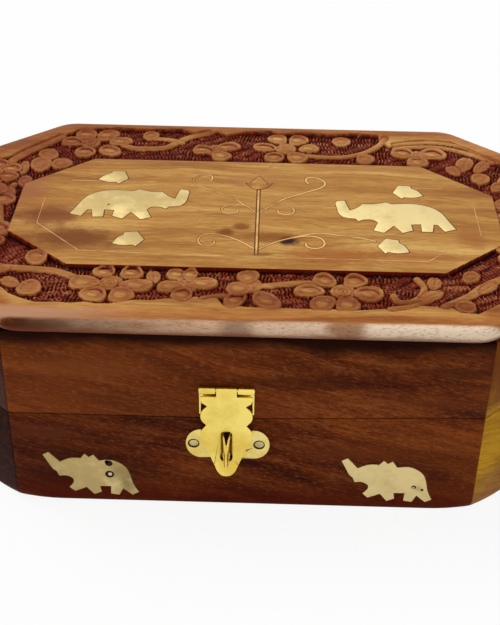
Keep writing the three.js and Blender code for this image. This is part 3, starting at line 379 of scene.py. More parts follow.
def makeWallWood(name="wallWood", turn=0.0, kind="red"):
    look = wallWood[kind]
    made, tree, shader, place = newMaterial(name)
    parts = put(tree, "SeparateXYZ", {0: place}).outputs
    turned = alongBoard(tree, place, turn, wallWood["tilt"])
    grain = placeGrain(tree, turned, 9.0, 70.0, 0.02)
    fine = placeGrain(tree, turned, 30.0, 260.0, 0.01)
    colour = threeTones(tree, grain["Figure"], look)
    colour = over(tree, colour, wallWood["pale"], fine["Figure"], 0.5, 0.72, look["pale"])
    colour = over(tree, colour, look["dark"], fine["Figure"], 0.5, 0.3, 0.5)
    colour = over(tree, colour, look["dark"], grain["Fibre"], 0.4, 0.66, 0.4)
    colour = mixed(tree, times(tree, grain["Pore"], 0.55), colour, look["dark"])
    speck = streaks(tree, turned, 0.3, 1300.0, 3.0, 0.65)
    colour = over(tree, colour, wallWood["pale"], speck, 0.52, 0.68, look["speck"])
    colour = over(tree, colour, look["dark"], speck, 0.46, 0.32, 0.6)
    drift = minus(tree, streaks(tree, place, 0.4, 60.0, 3.0, 0.6), 0.5)
    aside = nudged(tree, parts["X"], drift, 0.12)
    onLid = spread(tree, parts["Z"], *metres(wallWood["seam"]))
    onBase = minus(tree, 1.0, onLid)
    for shade, lidSpan, lidShare, baseSpan, baseShare in wallWood["shares"]:
        lid = times(tree, spread(tree, aside, *metres(lidSpan), 0.0, lidShare), onLid)
        base = times(tree, spread(tree, aside, *metres(baseSpan), 0.0, baseShare), onBase)
        colour = mixed(tree, plus(tree, lid, base), colour, look[shade])
    if turn == 0:
        colour = marked(tree, place, colour, wallWood["marks"], front=True)
    colour = over(tree, colour, wallWood["foot"], parts["Z"], *metres(wallWood["footRise"]), look["foot"])
    height = nudged(tree, parts["Z"], drift, 0.01)
    # painted shadow under the overhanging top
    colour = over(tree, colour, wallWood["shadowUnderTop"], height, *metres(wallWood["underLid"]), 0.95)
    dress(tree, shader, colour, spread(tree, fine["Fibre"], 0.3, 0.7, 0.36, 0.52),
          plus(tree, fine["Fibre"], fine["Pore"]), 0.0001, specular=0.02)
    return made


def makeGoldenWood():
    look = wallWood["golden"]
    made, tree, shader, place = newMaterial("goldenWood")
    parts = put(tree, "SeparateXYZ", {0: place}).outputs
    turned = alongBoard(tree, place, wallWood["cornerTurn"], wallWood["goldenTilt"])
    grain = placeGrain(tree, turned, 14.0, 150.0, 0.015)
    colour = threeTones(tree, grain["Figure"], look)
    colour = mixed(tree, times(tree, grain["Line"], 0.5), colour, look["dark"])
    height = nudged(tree, parts["Z"], minus(tree, noise(tree, place, 55.0), 0.5), 0.03)
    # browner towards the top: partly the wood, partly painted shade under the overhanging top
    colour = over(tree, colour, look["brown"], height, *metres(look["brownRise"]), 0.92)
    colour = over(tree, colour, look["foot"], height, *metres(look["footRise"]), 0.7)
    colour = mixed(tree, times(tree, grain["Pore"], 0.35), colour, wallWood["red"]["dark"])
    dress(tree, shader, colour, spread(tree, grain["Fibre"], 0.3, 0.7, 0.36, 0.52),
          plus(tree, grain["Fibre"], grain["Pore"]), 0.0001, specular=0.02)
    return made


# Metals. Lean is how much paler the brass gets towards the right, dents the depth of its unevenness in metres.

metals = {
    "paleBrass": {"light": tone(222, 202, 146), "dark": tone(192, 168, 112), "roughness": (0.58, 0.7),
                  "dents": 0.000002, "lean": 2.2, "tarnished": tone(118, 94, 48),
                  # round the front elephants' nails: x, z, reach, strength
                  "tarnish": [(-46.5, 14.0, 7.0, 0.5), (-44.0, 9.0, 5.0, 0.4), (65.0, 11.5, 3.4, 0.35)]},
    "tonedBrass": {"light": tone(220, 178, 114), "dark": tone(170, 122, 62), "roughness": (0.5, 0.65),
                   "dents": 0.00002, "lean": 2.4},
    "lotus": {"light": tone(200, 152, 84), "dark": tone(156, 106, 50), "roughness": (0.6, 0.75),
              "dents": 0.00002, "lean": 0.0},
    "bright": {"light": tone(246, 222, 118), "dark": tone(226, 192, 84), "roughness": (0.2, 0.3),
               "dents": 0.000006, "lean": 0.0},
    "plate": {"light": tone(240, 220, 140), "dark": tone(220, 190, 94), "roughness": (0.26, 0.4),
              "dents": 0.000006, "lean": 3.0},
    "steel": {"light": tone(212, 194, 140), "dark": tone(160, 138, 86), "roughness": (0.32, 0.46),
              "dents": 0.00003, "lean": 0.0},
}


def makeMetal(name):
    look = metals[name]
    made, tree, shader, place = newMaterial(name)
    along = put(tree, "SeparateXYZ", {0: place}).outputs["X"]
    cloud = nudged(tree, noise(tree, place, 70.0, 5.0, 0.6), along, look["lean"])
    scuff = noise(tree, mapped(tree, place, Scale=(1, 1, 14), Rotation=(0, 0.3, 0.2)), 500.0, 3.0, 0.6)
    colour = over(tree, look["dark"], look["light"], cloud, 0.3, 0.62)
    colour = over(tree, colour, look["dark"], scuff, 0.6, 0.75, 0.3)
    for x, z, reach, strength in look.get("tarnish", []):
        away = vectors(tree, "DISTANCE", place, metres((x, plan["inlayFront"], z)), "Value")
        away = nudged(tree, away, minus(tree, cloud, 0.5), 0.012)
        colour = over(tree, colour, look["tarnished"], away, reach * mm, 0.2 * reach * mm, strength)
    dress(tree, shader, colour, spread(tree, scuff, 0.35, 0.7, *look["roughness"]),
          nudged(tree, cloud, scuff, 0.2), look["dents"], 0.6, metallic=1.0)
    return made


# Fillings, painted shade and cuts: dark, light, scale of the pattern, and where it turns from dark to light

mattFinishes = {
    "pitchAndShadow": (tone(66, 32, 16), tone(112, 64, 32), 900.0, 0.35, 0.65),
    "wirePitchAndShadow": (tone(72, 38, 12), tone(104, 60, 22), 900.0, 0.35, 0.65),
    # dirt and painted shade: the seam, the nail holes and the crescents round the nails
    "dirtAndShade": (tone(20, 8, 4), tone(46, 22, 10), 900.0, 0.35, 0.65),
    "scoredWood": (tone(190, 142, 84), tone(226, 188, 136), 120.0, 0.4, 0.6),
}


def makeMatt(name):
    dark, light, scale, low, high = mattFinishes[name]
    made, tree, shader, place = newMaterial(name)
    grain = noise(tree, place, scale, 3.0, 0.6)
    dress(tree, shader, over(tree, dark, light, grain, low, high), 0.6, grain, 0.00005, specular=0.15)
    return made


velvet = {"dark": tone(98, 10, 20), "light": tone(124, 16, 28), "nap": tone(60, 4, 12), "sheen": tone(214, 90, 104)}


def makeVelvet():
    made, tree, shader, place = newMaterial("velvet")
    nap = noise(tree, place, 2600.0, 2.0, 0.7)
    colour = over(tree, velvet["dark"], velvet["light"], noise(tree, place, 45.0, 4.0, 0.6), 0.35, 0.65)
    colour = over(tree, colour, velvet["nap"], nap, 0.4, 0.7, 0.4)
    dress(tree, shader, colour, 0.95, nap, 0.0002, 0.7, specular=0.1, sheen=0.4, sheenTint=velvet["sheen"],
          sheenRoughness=0.35)
    return made


materials = {
    "board": makeWallWood(), "corner_board": makeGoldenWood(), "carved_top": makePlankWood(),
    "lining": makeVelvet(), "sheet_inlay": makeMetal("paleBrass"), "wire_inlay": makeMetal("tonedBrass"),
    "hardware": makeMetal("bright"), "nail": makeMetal("steel"),
}
plateBrass, lotusBrass = makeMetal("plate"), makeMetal("lotus")
pitchAndShadow, wirePitchAndShadow, dirtAndShade, scoredWood = (makeMatt(name) for name in mattFinishes)
boardFinishes = {
    "left": makeWallWood("endWood", math.pi / 2), "back_left": makeWallWood("backLeftWood", wallWood["cornerTurn"]),
    "back_right": makeWallWood("backRightWood", -wallWood["cornerTurn"]),
    "front_left": makeWallWood("frontLeftWood", -wallWood["cornerTurn"], "darkAndShaded"),
}
boardFinishes["right"] = boardFinishes["left"]
print("materials made")


# Pieces

slots = {entry["node"]: entry["material_slot"] for entry in frame["record"]["subparts"]}
for nodeName, solid in frame["nodes"].items():
    solid.data.materials.clear()
    solid.data.materials.append(materials[slots[nodeName]])


meshing = {"merge": 0.003, "flatAngle": 0.6, "sharpAngle": 28}


def bothSides(*names):                          # {} stands for left, then for right
    return [name.format(side) for name in names for side in (("left", "right") if "{}" in name else ("",))]


def mergedCopy(nodeName, flat=True):
    work = bmesh.new()
    work.from_mesh(frame["nodes"][nodeName].data)
    bmesh.ops.remove_doubles(work, verts=work.verts, dist=meshing["merge"] * mm)
    if flat:                                    # one face for each flat side
        bmesh.ops.dissolve_limit(work, angle_limit=math.radians(meshing["flatAngle"]), verts=work.verts,
                                 edges=work.edges)
    return work


def sharpEdges(work, degrees):
    least = math.radians(degrees)
    return [edge for edge in work.edges if edge.is_manifold and edge.calc_face_angle(0) > least]


def soften(work, offset, edges=None, segments=2):
    edges = sharpEdges(work, meshing["sharpAngle"]) if edges is None else edges
    bmesh.ops.bevel(work, geom=edges, offset=offset * mm, offset_type="OFFSET", affect="EDGES",
                    segments=segments, profile=0.5, material=-1, clamp_overlap=False)


def softened(nodeName, offset, segments=2):
    work = mergedCopy(nodeName)
    soften(work, offset, segments=segments)
    bmesh.ops.triangulate(work, faces=work.faces[:])
    return work


def joinTo(work, other):
    spare = bpy.data.meshes.new("spare")
    other.to_mesh(spare)
    other.free()
    work.from_mesh(spare)
    bpy.data.meshes.remove(spare)


def addPiece(name, work, body, slotName, replaced, smoothAngle=25, finish=None):
    for face in work.faces:
        face.smooth = True
    for edge in work.edges:
        edge.smooth = edge.calc_face_angle(0) < math.radians(smoothAngle)
    mesh = bpy.data.meshes.new(name)
    work.to_mesh(mesh)
    work.free()
    for spare in ("custom_normal", "UVMap"):
        if spare in mesh.attributes:
            mesh.attributes.remove(mesh.attributes[spare])
    mesh.materials.clear()
    mesh.materials.append(finish or materials[slotName])
    made = bpy.data.objects.new(name, mesh)
    bpy.context.scene.collection.objects.link(made)
    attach(made, body)
    if replaced:
        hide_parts(*replaced)
    return made


bodyOf = {name: body for body, names in frame["record"]["behaviour"]["bodies"].items() for name in names}


# Outlines, the same as the solids have

def cutCornerOutline():
    halfLength, halfDepth = plan["length"] / 2, plan["depth"] / 2
    nearEnd, nearSide = halfLength - plan["cornerAlong"], halfDepth - plan["cornerAcross"]
    return np.array([(-nearEnd, -halfDepth), (nearEnd, -halfDepth), (halfLength, -nearSide), (halfLength, nearSide),
                     (nearEnd, halfDepth), (-nearEnd, halfDepth), (-halfLength, nearSide), (-halfLength, -nearSide)])


def sidesOf(points):
    return zip(points, np.roll(points, -1, 0))


def insetOutline(points, insets):
    runs = np.roll(points, -1, 0) - points
    runs = runs / np.linalg.norm(runs, axis=1)[:, None]
    starts = points + np.stack([-runs[:, 1], runs[:, 0]], 1) * np.reshape(insets, (-1, 1))
    corners = []
    for i in range(len(points)):
        between = starts[i] - starts[i - 1]
        along = np.cross(between, runs[i]) / np.cross(runs[i - 1], runs[i])
        corners.append(starts[i - 1] + runs[i - 1] * along)
    return np.array(corners)


plankOutline = cutCornerOutline()
panelOutline = insetOutline(plankOutline, plan["borderWidths"])
wallOutline = insetOutline(plankOutline, [plan["cornerOverhang"] if i % 2 else plan["overhang"] for i in range(8)])


# Boards of the base and the lid

boards = {
    "cornerRadius": 3.0, "cornerReach": 1.2, "cornerCuts": [0.4, 0.8, 1.2],       # rounding of the upright corners
    "footRadius": 2.2, "footShare": 0.8, "footCuts": [0.25, 0.6, 1.1, 1.7, 2.6, 4.0, 6.0],  # along the table
    "footSwell": 4.2, "swellReach": 17, "swellCuts": [3, 6, 9, 13, 17],           # which grows towards the corners
    "edge": 0.32, "sawnAngle": 40, "sawnAbove": 5,                                # softening of the sawn edges
    "darkSlant": (0.25, 0.9), "darkAbove": 30,                                    # and which of it is painted dark, as shade in the seam
}


def cutAcross(work, point, normal, dist=1e-7, **settings):
    bmesh.ops.bisect_plane(work, geom=work.verts[:] + work.edges[:] + work.faces[:], dist=dist,
                           plane_co=Vector(point) * mm, plane_no=normal, **settings)


def mitreSlant(side, neighbour):
    runs = [Vector(wallOutline[(i + 1) % 8] - wallOutline[i]) for i in (side, neighbour)]
    return math.tan(runs[0].angle(runs[1]) / 2)


def makeBoard(level, side):
    name = f"{level}_{sideNames[side]}_wall"
    start, end = wallOutline[side], wallOutline[(side + 1) % 8]
    length = np.linalg.norm(end - start)
    run = (end - start) / length
    out = Vector((run[1], -run[0], 0))
    along = Vector((*run, 0))
    first = Vector((*start, 0))
    slants = [mitreSlant(side, (side + step) % 8) for step in (-1, 1)]
    work = mergedCopy(name)
    onBase = level == "base"
    for reach in boards["cornerCuts"] + (boards["swellCuts"] if onBase else []):
        cutAcross(work, first + along * reach, along)
        cutAcross(work, first + along * (length - reach), along)
    for height in boards["footCuts"] if onBase else []:
        cutAcross(work, (0, 0, height), (0, 0, 1))
    for vertex in work.verts:
        point = vertex.co / mm
        travel = (point - first).dot(along)
        fromEnd = max(min(travel, length - travel), 0)
        inward = max(boards["cornerReach"] - fromEnd, 0) ** 2 / (2 * boards["cornerRadius"])
        radius = boards["footRadius"] + boards["footSwell"] * max(1 - fromEnd / boards["swellReach"], 0) ** 2
        if onBase and point.z < radius:
            inward += (radius - math.sqrt(radius ** 2 - (radius - point.z) ** 2)) * boards["footShare"]
        push = inward + (point - first).dot(out)
        if push > 0:
            kept = min(max(travel, inward * slants[0]), length - inward * slants[1])
            vertex.co += (along * (kept - travel) - out * push) * mm
    seamEdges = [edge for edge in sharpEdges(work, boards["sawnAngle"])
                 if any(face.normal.dot(out) > 0.6 for face in edge.link_faces)
                 and any(abs(face.normal.z) > 0.9 for face in edge.link_faces)
                 and all(vertex.co.z > boards["sawnAbove"] * mm for vertex in edge.verts)]
    soften(work, boards["edge"], seamEdges)
    bmesh.ops.triangulate(work, faces=work.faces[:])
    least, most = boards["darkSlant"]
    for face in work.faces:                     # the softened edges along the seam are dark: painted shade in the seam
        slanted = least < abs(face.normal.z) < most and face.normal.dot(out) > 0.2
        face.material_index = 1 if slanted and face.calc_center_median().z > boards["darkAbove"] * mm else 0
    made = addPiece(f"{level}_{sideNames[side]}_board", work, bodyOf[name], slots[name], [name],
                    finish=boardFinishes.get(sideNames[side]))
    made.data.materials.append(dirtAndShade)


for level in ("base", "lid"):
    for side in range(8):
        makeBoard(level, side)
print("boards made")


# The metal pieces keep their solids' shapes and get soft edges

softEdges = {
    "hasp_flap": 0.14, "hasp_leaf": 0.12, "hasp_staple": 0.16, "staple_plate": 0.16, "hasp_pin": 0.12,
    "hinge_{}_lower_leaf": 0.1, "hinge_{}_upper_leaf": 0.1, "hinge_{}_pin": 0.15,
    "staple_plate_nail_{}": 0.1, "hasp_leaf_nail_{}": 0.1, "lid_elephant_{}": 0.09, "front_elephant_{}": 0.1,
    "lid_leaf_back_{}": 0.09, "lid_leaf_front_{}": 0.09, "lid_lotus": 0.09,
}
for pattern, offset in softEdges.items():
    for nodeName in bothSides(pattern):
        addPiece(nodeName + "_brass", softened(nodeName, offset), bodyOf[nodeName], slots[nodeName], [nodeName],
                 finish={"staple_plate": plateBrass, "lid_lotus": lotusBrass}.get(nodeName))
print("brass made")


# The carved border: its motifs, drawn on the top's plan

carving = {
    "spacingX": 0.42, "spacingFront": 0.40, "spacingBack": 0.50,
    "rims": [10, 8.5, 8.5, 8, 5, 8, 8.5, 8.5],     # plain wood outside the cutting, from the front round
    "panelTrim": [1.3, 1.0, 0.6, 0.6, 0.6, 0.6, 0.6, 1.0],  # hand-cut edge of the panel, in from the solid's
    "panelLap": 1.2,                                # how far the cutting's mesh runs onto the panel
    "tuck": 0.3,                                    # how far the plank's own walls stand behind the cutting's
    # heights from the plank's top: sunk ground, tops of the motifs, middles of the flowers, underside of the cutting
    "ground": -2.05, "crest": -0.2, "core": -0.42, "slab": -2.6, "proud": 0.01,
    "dish": 0.8, "groove": 0.55, "softEdge": 0.22, "fullness": 1.1, "coreRadius": 4.6,
    "shift": -0.9,                                  # moves all motifs a little to the front
    "snap": 0.14,                                   # how near the panel's edge the mesh is drawn onto it
    "outer": [
        (-86.7, -57), (-84, -60), (-79.4, -62.7), (-73.9, -64.9), (-67, -64.5), (-61.7, -64.8), (-57, -64),
        (-53, -64.8), (-48.3, -64.6), (-45, -63.2), (-40, -62), (-34, -62), (-29.4, -60.8), (-24, -60.3),
        (-18, -59), (-12, -58), (-8.5, -63.6), (0, -64.8), (12, -64.8), (22, -65), (31, -64.7), (39.7, -65),
        (48, -63.6), (51.5, -62.2), (57.4, -61), (64, -61.5), (71, -61.5), (74, -64.8), (80, -65.4), (88, -59),
        (97, -51), (106, -43), (114, -36), (117.5, -31), (118, -15), (117.4, 0), (118, 14), (117.6, 30),
        (110, 38.5), (101, 47), (93, 54.5), (88, 61.9), (82, 63.6), (76.5, 64.2), (64.7, 62.4), (57.6, 59),
        (53.5, 64), (53, 69.5), (42, 70.5), (33, 69), (22, 70.3), (10, 69), (6, 71), (-4, 70), (-12.6, 67),
        (-17, 69), (-24, 66), (-33, 71), (-41, 70.5), (-49, 70), (-60, 70.8), (-70, 69.8), (-78, 67.7),
        (-83.2, 62.4), (-89, 54), (-96, 48.5), (-103, 42), (-112, 36), (-117.5, 30), (-118, 16), (-117, 4),
        (-118, -12), (-117.5, -29), (-111, -37), (-102, -44), (-94, -50.5),
    ],
    # flowers: middle, button radius, then petals as x, y, half length, half width
    "flowers": [
        ((-49.4, -50.4), 2.6, [(-52.6, -43.2, 3.7, 3.7), (-42.7, -43.4, 4.3, 3.9), (-40.2, -51.4, 5.6, 3.7),
                               (-45.0, -57.6, 4.6, 4.4), (-54.7, -57.4, 4.7, 4.5), (-59.0, -50.2, 5.4, 3.9)]),
        ((-22.4, -50.6), 0, [(-27.6, -51.8, 4.8, 3.6), (-23.4, -56.4, 4.2, 3.7), (-16.5, -49.2, 4.8, 3.7),
                             (-26.2, -44.0, 3.7, 3.3), (-21.4, -43.8, 3.8, 2.6)]),
        ((0.2, -49.6), 0, [(6.2, -58.8, 5.8, 4.2), (-4.6, -59.0, 5.4, 3.2), (-3.2, -51.8, 4.6, 4.0),
                           (-0.4, -44.3, 4.0, 3.8)]),
        ((33.5, -52.2), 2.9, [(27.3, -45.2, 4.3, 4.0), (38.0, -45.2, 4.4, 4.1), (42.6, -53.2, 5.2, 4.4),
                              (34.8, -59.9, 5.0, 4.1), (26.3, -59.9, 5.1, 4.1), (21.7, -52.2, 5.0, 3.8)]),
        ((-71.2, 58.2), 2.6, [(-73.4, 65.4, 4.6, 4.2), (-64.4, 65.2, 5.0, 4.3), (-78.6, 58.6, 4.8, 3.8),
                              (-58.2, 59.6, 5.0, 3.6), (-72.2, 49.6, 4.8, 4.0), (-62.0, 51.2, 5.2, 3.9)]),
        ((-17.6, 53.8), 0, [(-22.0, 54.0, 4.3, 4.0), (-12.0, 56.8, 5.2, 3.8), (-14.6, 48.8, 4.2, 3.8)]),
        ((12.9, 56.4), 2.6, [(9.7, 65.0, 4.2, 3.8), (18.3, 64.6, 4.5, 4.0), (4.2, 57.4, 4.6, 3.8),
                             (22.8, 57.0, 4.2, 3.4), (8.2, 48.8, 4.6, 3.8), (17.7, 48.9, 4.6, 4.2)]),
        ((68.6, 52.6), 0, [(62.9, 55.0, 4.8, 4.2), (68.5, 47.2, 4.4, 4.2), (75.3, 54.6, 6.0, 4.6)]),
    ],
    # leaves: x, y, half length, half width, the way they point in degrees, veins
    "leaves": [
        (-77.9, -54.6, 5.2, 4.5, -100, 0), (-85.4, -51.0, 4.6, 3.0, 140, 1), (-34.6, -45.6, 4.4, 2.8, 95, 1),
        (64.6, -53.4, 5.6, 3.0, 40, 1), (66.6, -45.2, 4.4, 2.8, 80, 1), (76.2, -60.2, 3.9, 3.8, 0, 0),
        (80.2, -41.0, 4.2, 3.2, 60, 0), (85.6, -47.4, 5.0, 2.4, 45, 1), (-78.7, -34.6, 5.4, 4.2, 100, 0),
        (-88.9, 37.0, 6.4, 4.5, 95, 0), (-80.5, 38.0, 4.7, 4.5, 60, 0), (-95.4, 33.8, 6.0, 2.1, 92, 0),
        (-93.0, 22.4, 4.6, 2.9, 90, 0), (-97.2, 10.0, 7.0, 2.4, 90, 0), (-94.6, -14.6, 5.4, 3.0, 100, 0),
        (-87.0, 46.0, 5.2, 4.2, 120, 0), (-45.6, 65.4, 4.4, 3.6, 80, 0), (46.6, 48.2, 4.6, 4.0, 85, 0),
        (37.0, 63.8, 4.2, 4.1, 90, 0), (88.0, 46.4, 7.0, 3.8, 70, 1), (95.0, 44.6, 6.4, 3.0, 60, 1),
        (93.2, 33.4, 4.6, 4.0, 80, 0), (99.6, 27.0, 5.4, 3.0, 60, 0), (83.0, 40.6, 4.6, 3.0, 110, 1),
    ],
    # vines: width, then the points that they run through
    "vines": [
        (4.0, [(-93, -40.6), (-88, -41.6), (-80, -42.2), (-72, -43.0), (-66, -45.4), (-60.5, -49.0)]),
        (3.4, [(0, -50.4), (7, -49.4), (14, -48.0), (19, -47.2), (24.5, -47.0)]),
        (3.0, [(-16, -58.4), (-9, -56.6), (-4, -58.0)]),
        (3.6, [(50, -62.6), (55, -61.2), (60, -58.6), (64.5, -55.0), (68, -50.6)]),
        (4.0, [(69, -60.2), (73.5, -56.8), (78.5, -53.0), (83.6, -47.4), (89.5, -42.6), (97, -38.4)]),
        (3.0, [(60.6, -42.8), (62.6, -47.6), (61.6, -53.0), (57.4, -57.4), (52.8, -57.6), (51.4, -53.8)]),
        (3.8, [(-58, 57.4), (-52, 54.0), (-45, 54.0), (-38, 55.4), (-33.6, 60.4), (-28.4, 65.6), (-21, 69.6)]),
        (3.4, [(-46, 62.8), (-41, 63.0), (-36, 62.0), (-32, 60.0)]),
        (3.2, [(21, 51.0), (28, 49.8), (36, 50.0), (43, 52.4), (49, 56.8), (53.6, 62.6), (56, 68)]),
        (3.2, [(60, 62.4), (68, 64.6), (78, 65.4), (88, 62.6), (97, 55.6), (106, 47)]),
        (3.0, [(60, 59.0), (66, 60.6), (76, 61.4), (84, 59.6), (92, 55.2), (100, 48.4)]),
        (4.4, [(-100.5, 24), (-102.5, 32), (-101.5, 40), (-96.5, 48), (-90, 55.5), (-84, 62.5)]),
        (3.0, [(-96.8, 20), (-99.5, 13), (-99.6, 4), (-97.6, -6), (-96.6, -12)]),
    ],
    # hatched ground: x, y, half width, half depth, the strokes' tilt in degrees
    "hatches": [
        (-68, -55, 7, 8, 8), (-74, -62, 9, 3, 4), (-88, -58, 5, 4, 30), (-35, -58.4, 6.5, 3.6, 0), (-12, -49, 6, 4, -8),
        (-14, -56, 5, 3, -30), (-10, -43, 9, 3.2, 0), (9, -54.5, 9, 3.6, 0), (12, -43.4, 10, 3.0, 0),
        (16, -60, 6, 5, 20), (47.5, -50, 4, 6.5, 90), (44, -61, 6, 3, 0), (72, -46.5, 6.5, 5.5, 84),
        (67, -57, 4, 3, -40), (84, -57, 5, 5.6, 10), (85, -36, 7, 5, 45), (-87, -34, 5, 7, 60), (-87, -30, 4, 6, 40),
        (-70, -38, 4, 3, 0), (34, 54.6, 6, 3.0, 0), (-46, 58, 6, 3, 0), (-4, 50, 4, 5, 0), (28, 61, 5, 4, 0),
        (84, 47, 4, 7, 20), (97, 25, 5, 4, 60), (-86, 27, 4, 3, 0), (55, 47, 4, 4, 0),
    ],
    "strokePitch": 1.4, "strokeLength": 4.4, "strokeDepth": 0.95, "hatchRise": 1.0,
    # the rest of the ground, hatched patch by patch in three rows
    "hatchStep": 8, "hatchReach": 6.5, "hatchRows": (-7.5, 0, 7.5),
}


def ringOfPetals(x, y, turn, count=6, reach=8.2, long=4.9, wide=4.2):
    angles = [math.radians(turn + 360 * i / count) for i in range(count)]
    return ((x, y), 2.7, [(x + reach * math.cos(a), y + reach * math.sin(a), long, wide) for a in angles])


# The two ends of the border, which follow the rest
carving["flowers"] += [ringOfPetals(106.4, 6, 15), ringOfPetals(103.6, -22, 40), ringOfPetals(-107.4, 8, 0),
                       ringOfPetals(-104.6, -18, 25), ringOfPetals(-106, 30, 30, reach=6.6, long=4, wide=3.4)]
carving["leaves"] += [(112, 20, 5, 3, 100, 1), (104, 34, 6, 3.4, 50, 1), (98.5, -36, 5, 3, -40, 1),
                      (94, -45.5, 4.6, 2.8, 30, 0), (112, -8, 4.6, 2.6, -80, 1), (-99, -34.5, 5.4, 3.2, 210, 1),
                      (-91, -43.6, 4.6, 2.8, 200, 0), (-113, -5, 4.6, 2.4, 90, 1), (-112.6, 22, 3.8, 2.2, 90, 0)]
carving["hatches"] += [(99, -8, 6, 7, 30), (112, -32, 6, 6, 45), (98, 16, 5, 5, 60), (-99, -5, 4, 6, 60),
                       (-112, -32, 6, 6, 30), (-98, 0, 4, 5, 0), (-112, 34, 5, 4, 10)]


def smooth(low, high, value):
    t = np.clip((value - low) / (high - low), 0, 1)
    return t * t * (3 - 2 * t)


def wander(x, y, size, seed, waves=9, circle=6.28):              # an uneven surface out of crossing waves
    draws = np.random.default_rng(seed)
    total = np.zeros_like(x)
    for _ in range(waves):
        angle, phase, pace = draws.uniform(0, circle), draws.uniform(0, circle), draws.uniform(0.6, 1.6) / size
        total += np.sin(circle * pace * (x * math.cos(angle) + y * math.sin(angle)) + phase)
    return 2 * total / waves


def lineDistance(x, y, segments):
    best = np.full(x.shape, 1e9)
    for (ax, ay), (bx, by) in segments:
        dx, dy = bx - ax, by - ay
        along = np.clip(((x - ax) * dx + (y - ay) * dy) / (dx * dx + dy * dy), 0, 1)
        best = np.minimum(best, np.hypot(x - ax - along * dx, y - ay - along * dy))
    return best


def faceCentres(work):
    return np.array([face.calc_center_median()[:2] for face in work.faces]).T / mm


def outlineDistance(x, y, points):              # less than 0 inside
    best = lineDistance(x, y, sidesOf(points))
    inside = np.zeros(x.shape, bool)
    for (ax, ay), (bx, by) in sidesOf(points):
        if ay != by:
            crosses = ((ay > y) != (by > y)) & (x < (bx - ax) * (y - ay) / (by - ay) + ax)
            inside ^= crosses
    return np.where(inside, -best, best)


def drawnLine(points, steps=8):
    points = np.array([points[0], *points, points[-1]], float)
    line = []
    for i in range(1, len(points) - 2):
        a, b, c, d = points[i - 1:i + 3]
        for t in np.arange(steps) / steps:
            line.append(0.5 * (2 * b + (c - a) * t + (2 * a - 5 * b + 4 * c - d) * t ** 2
                               + (3 * b - a - 3 * c + d) * t ** 3))
    return np.array([*line, points[-2]])


def rotated(x, y, degrees):
    angle = math.radians(degrees)
    return x * math.cos(angle) + y * math.sin(angle), y * math.cos(angle) - x * math.sin(angle)


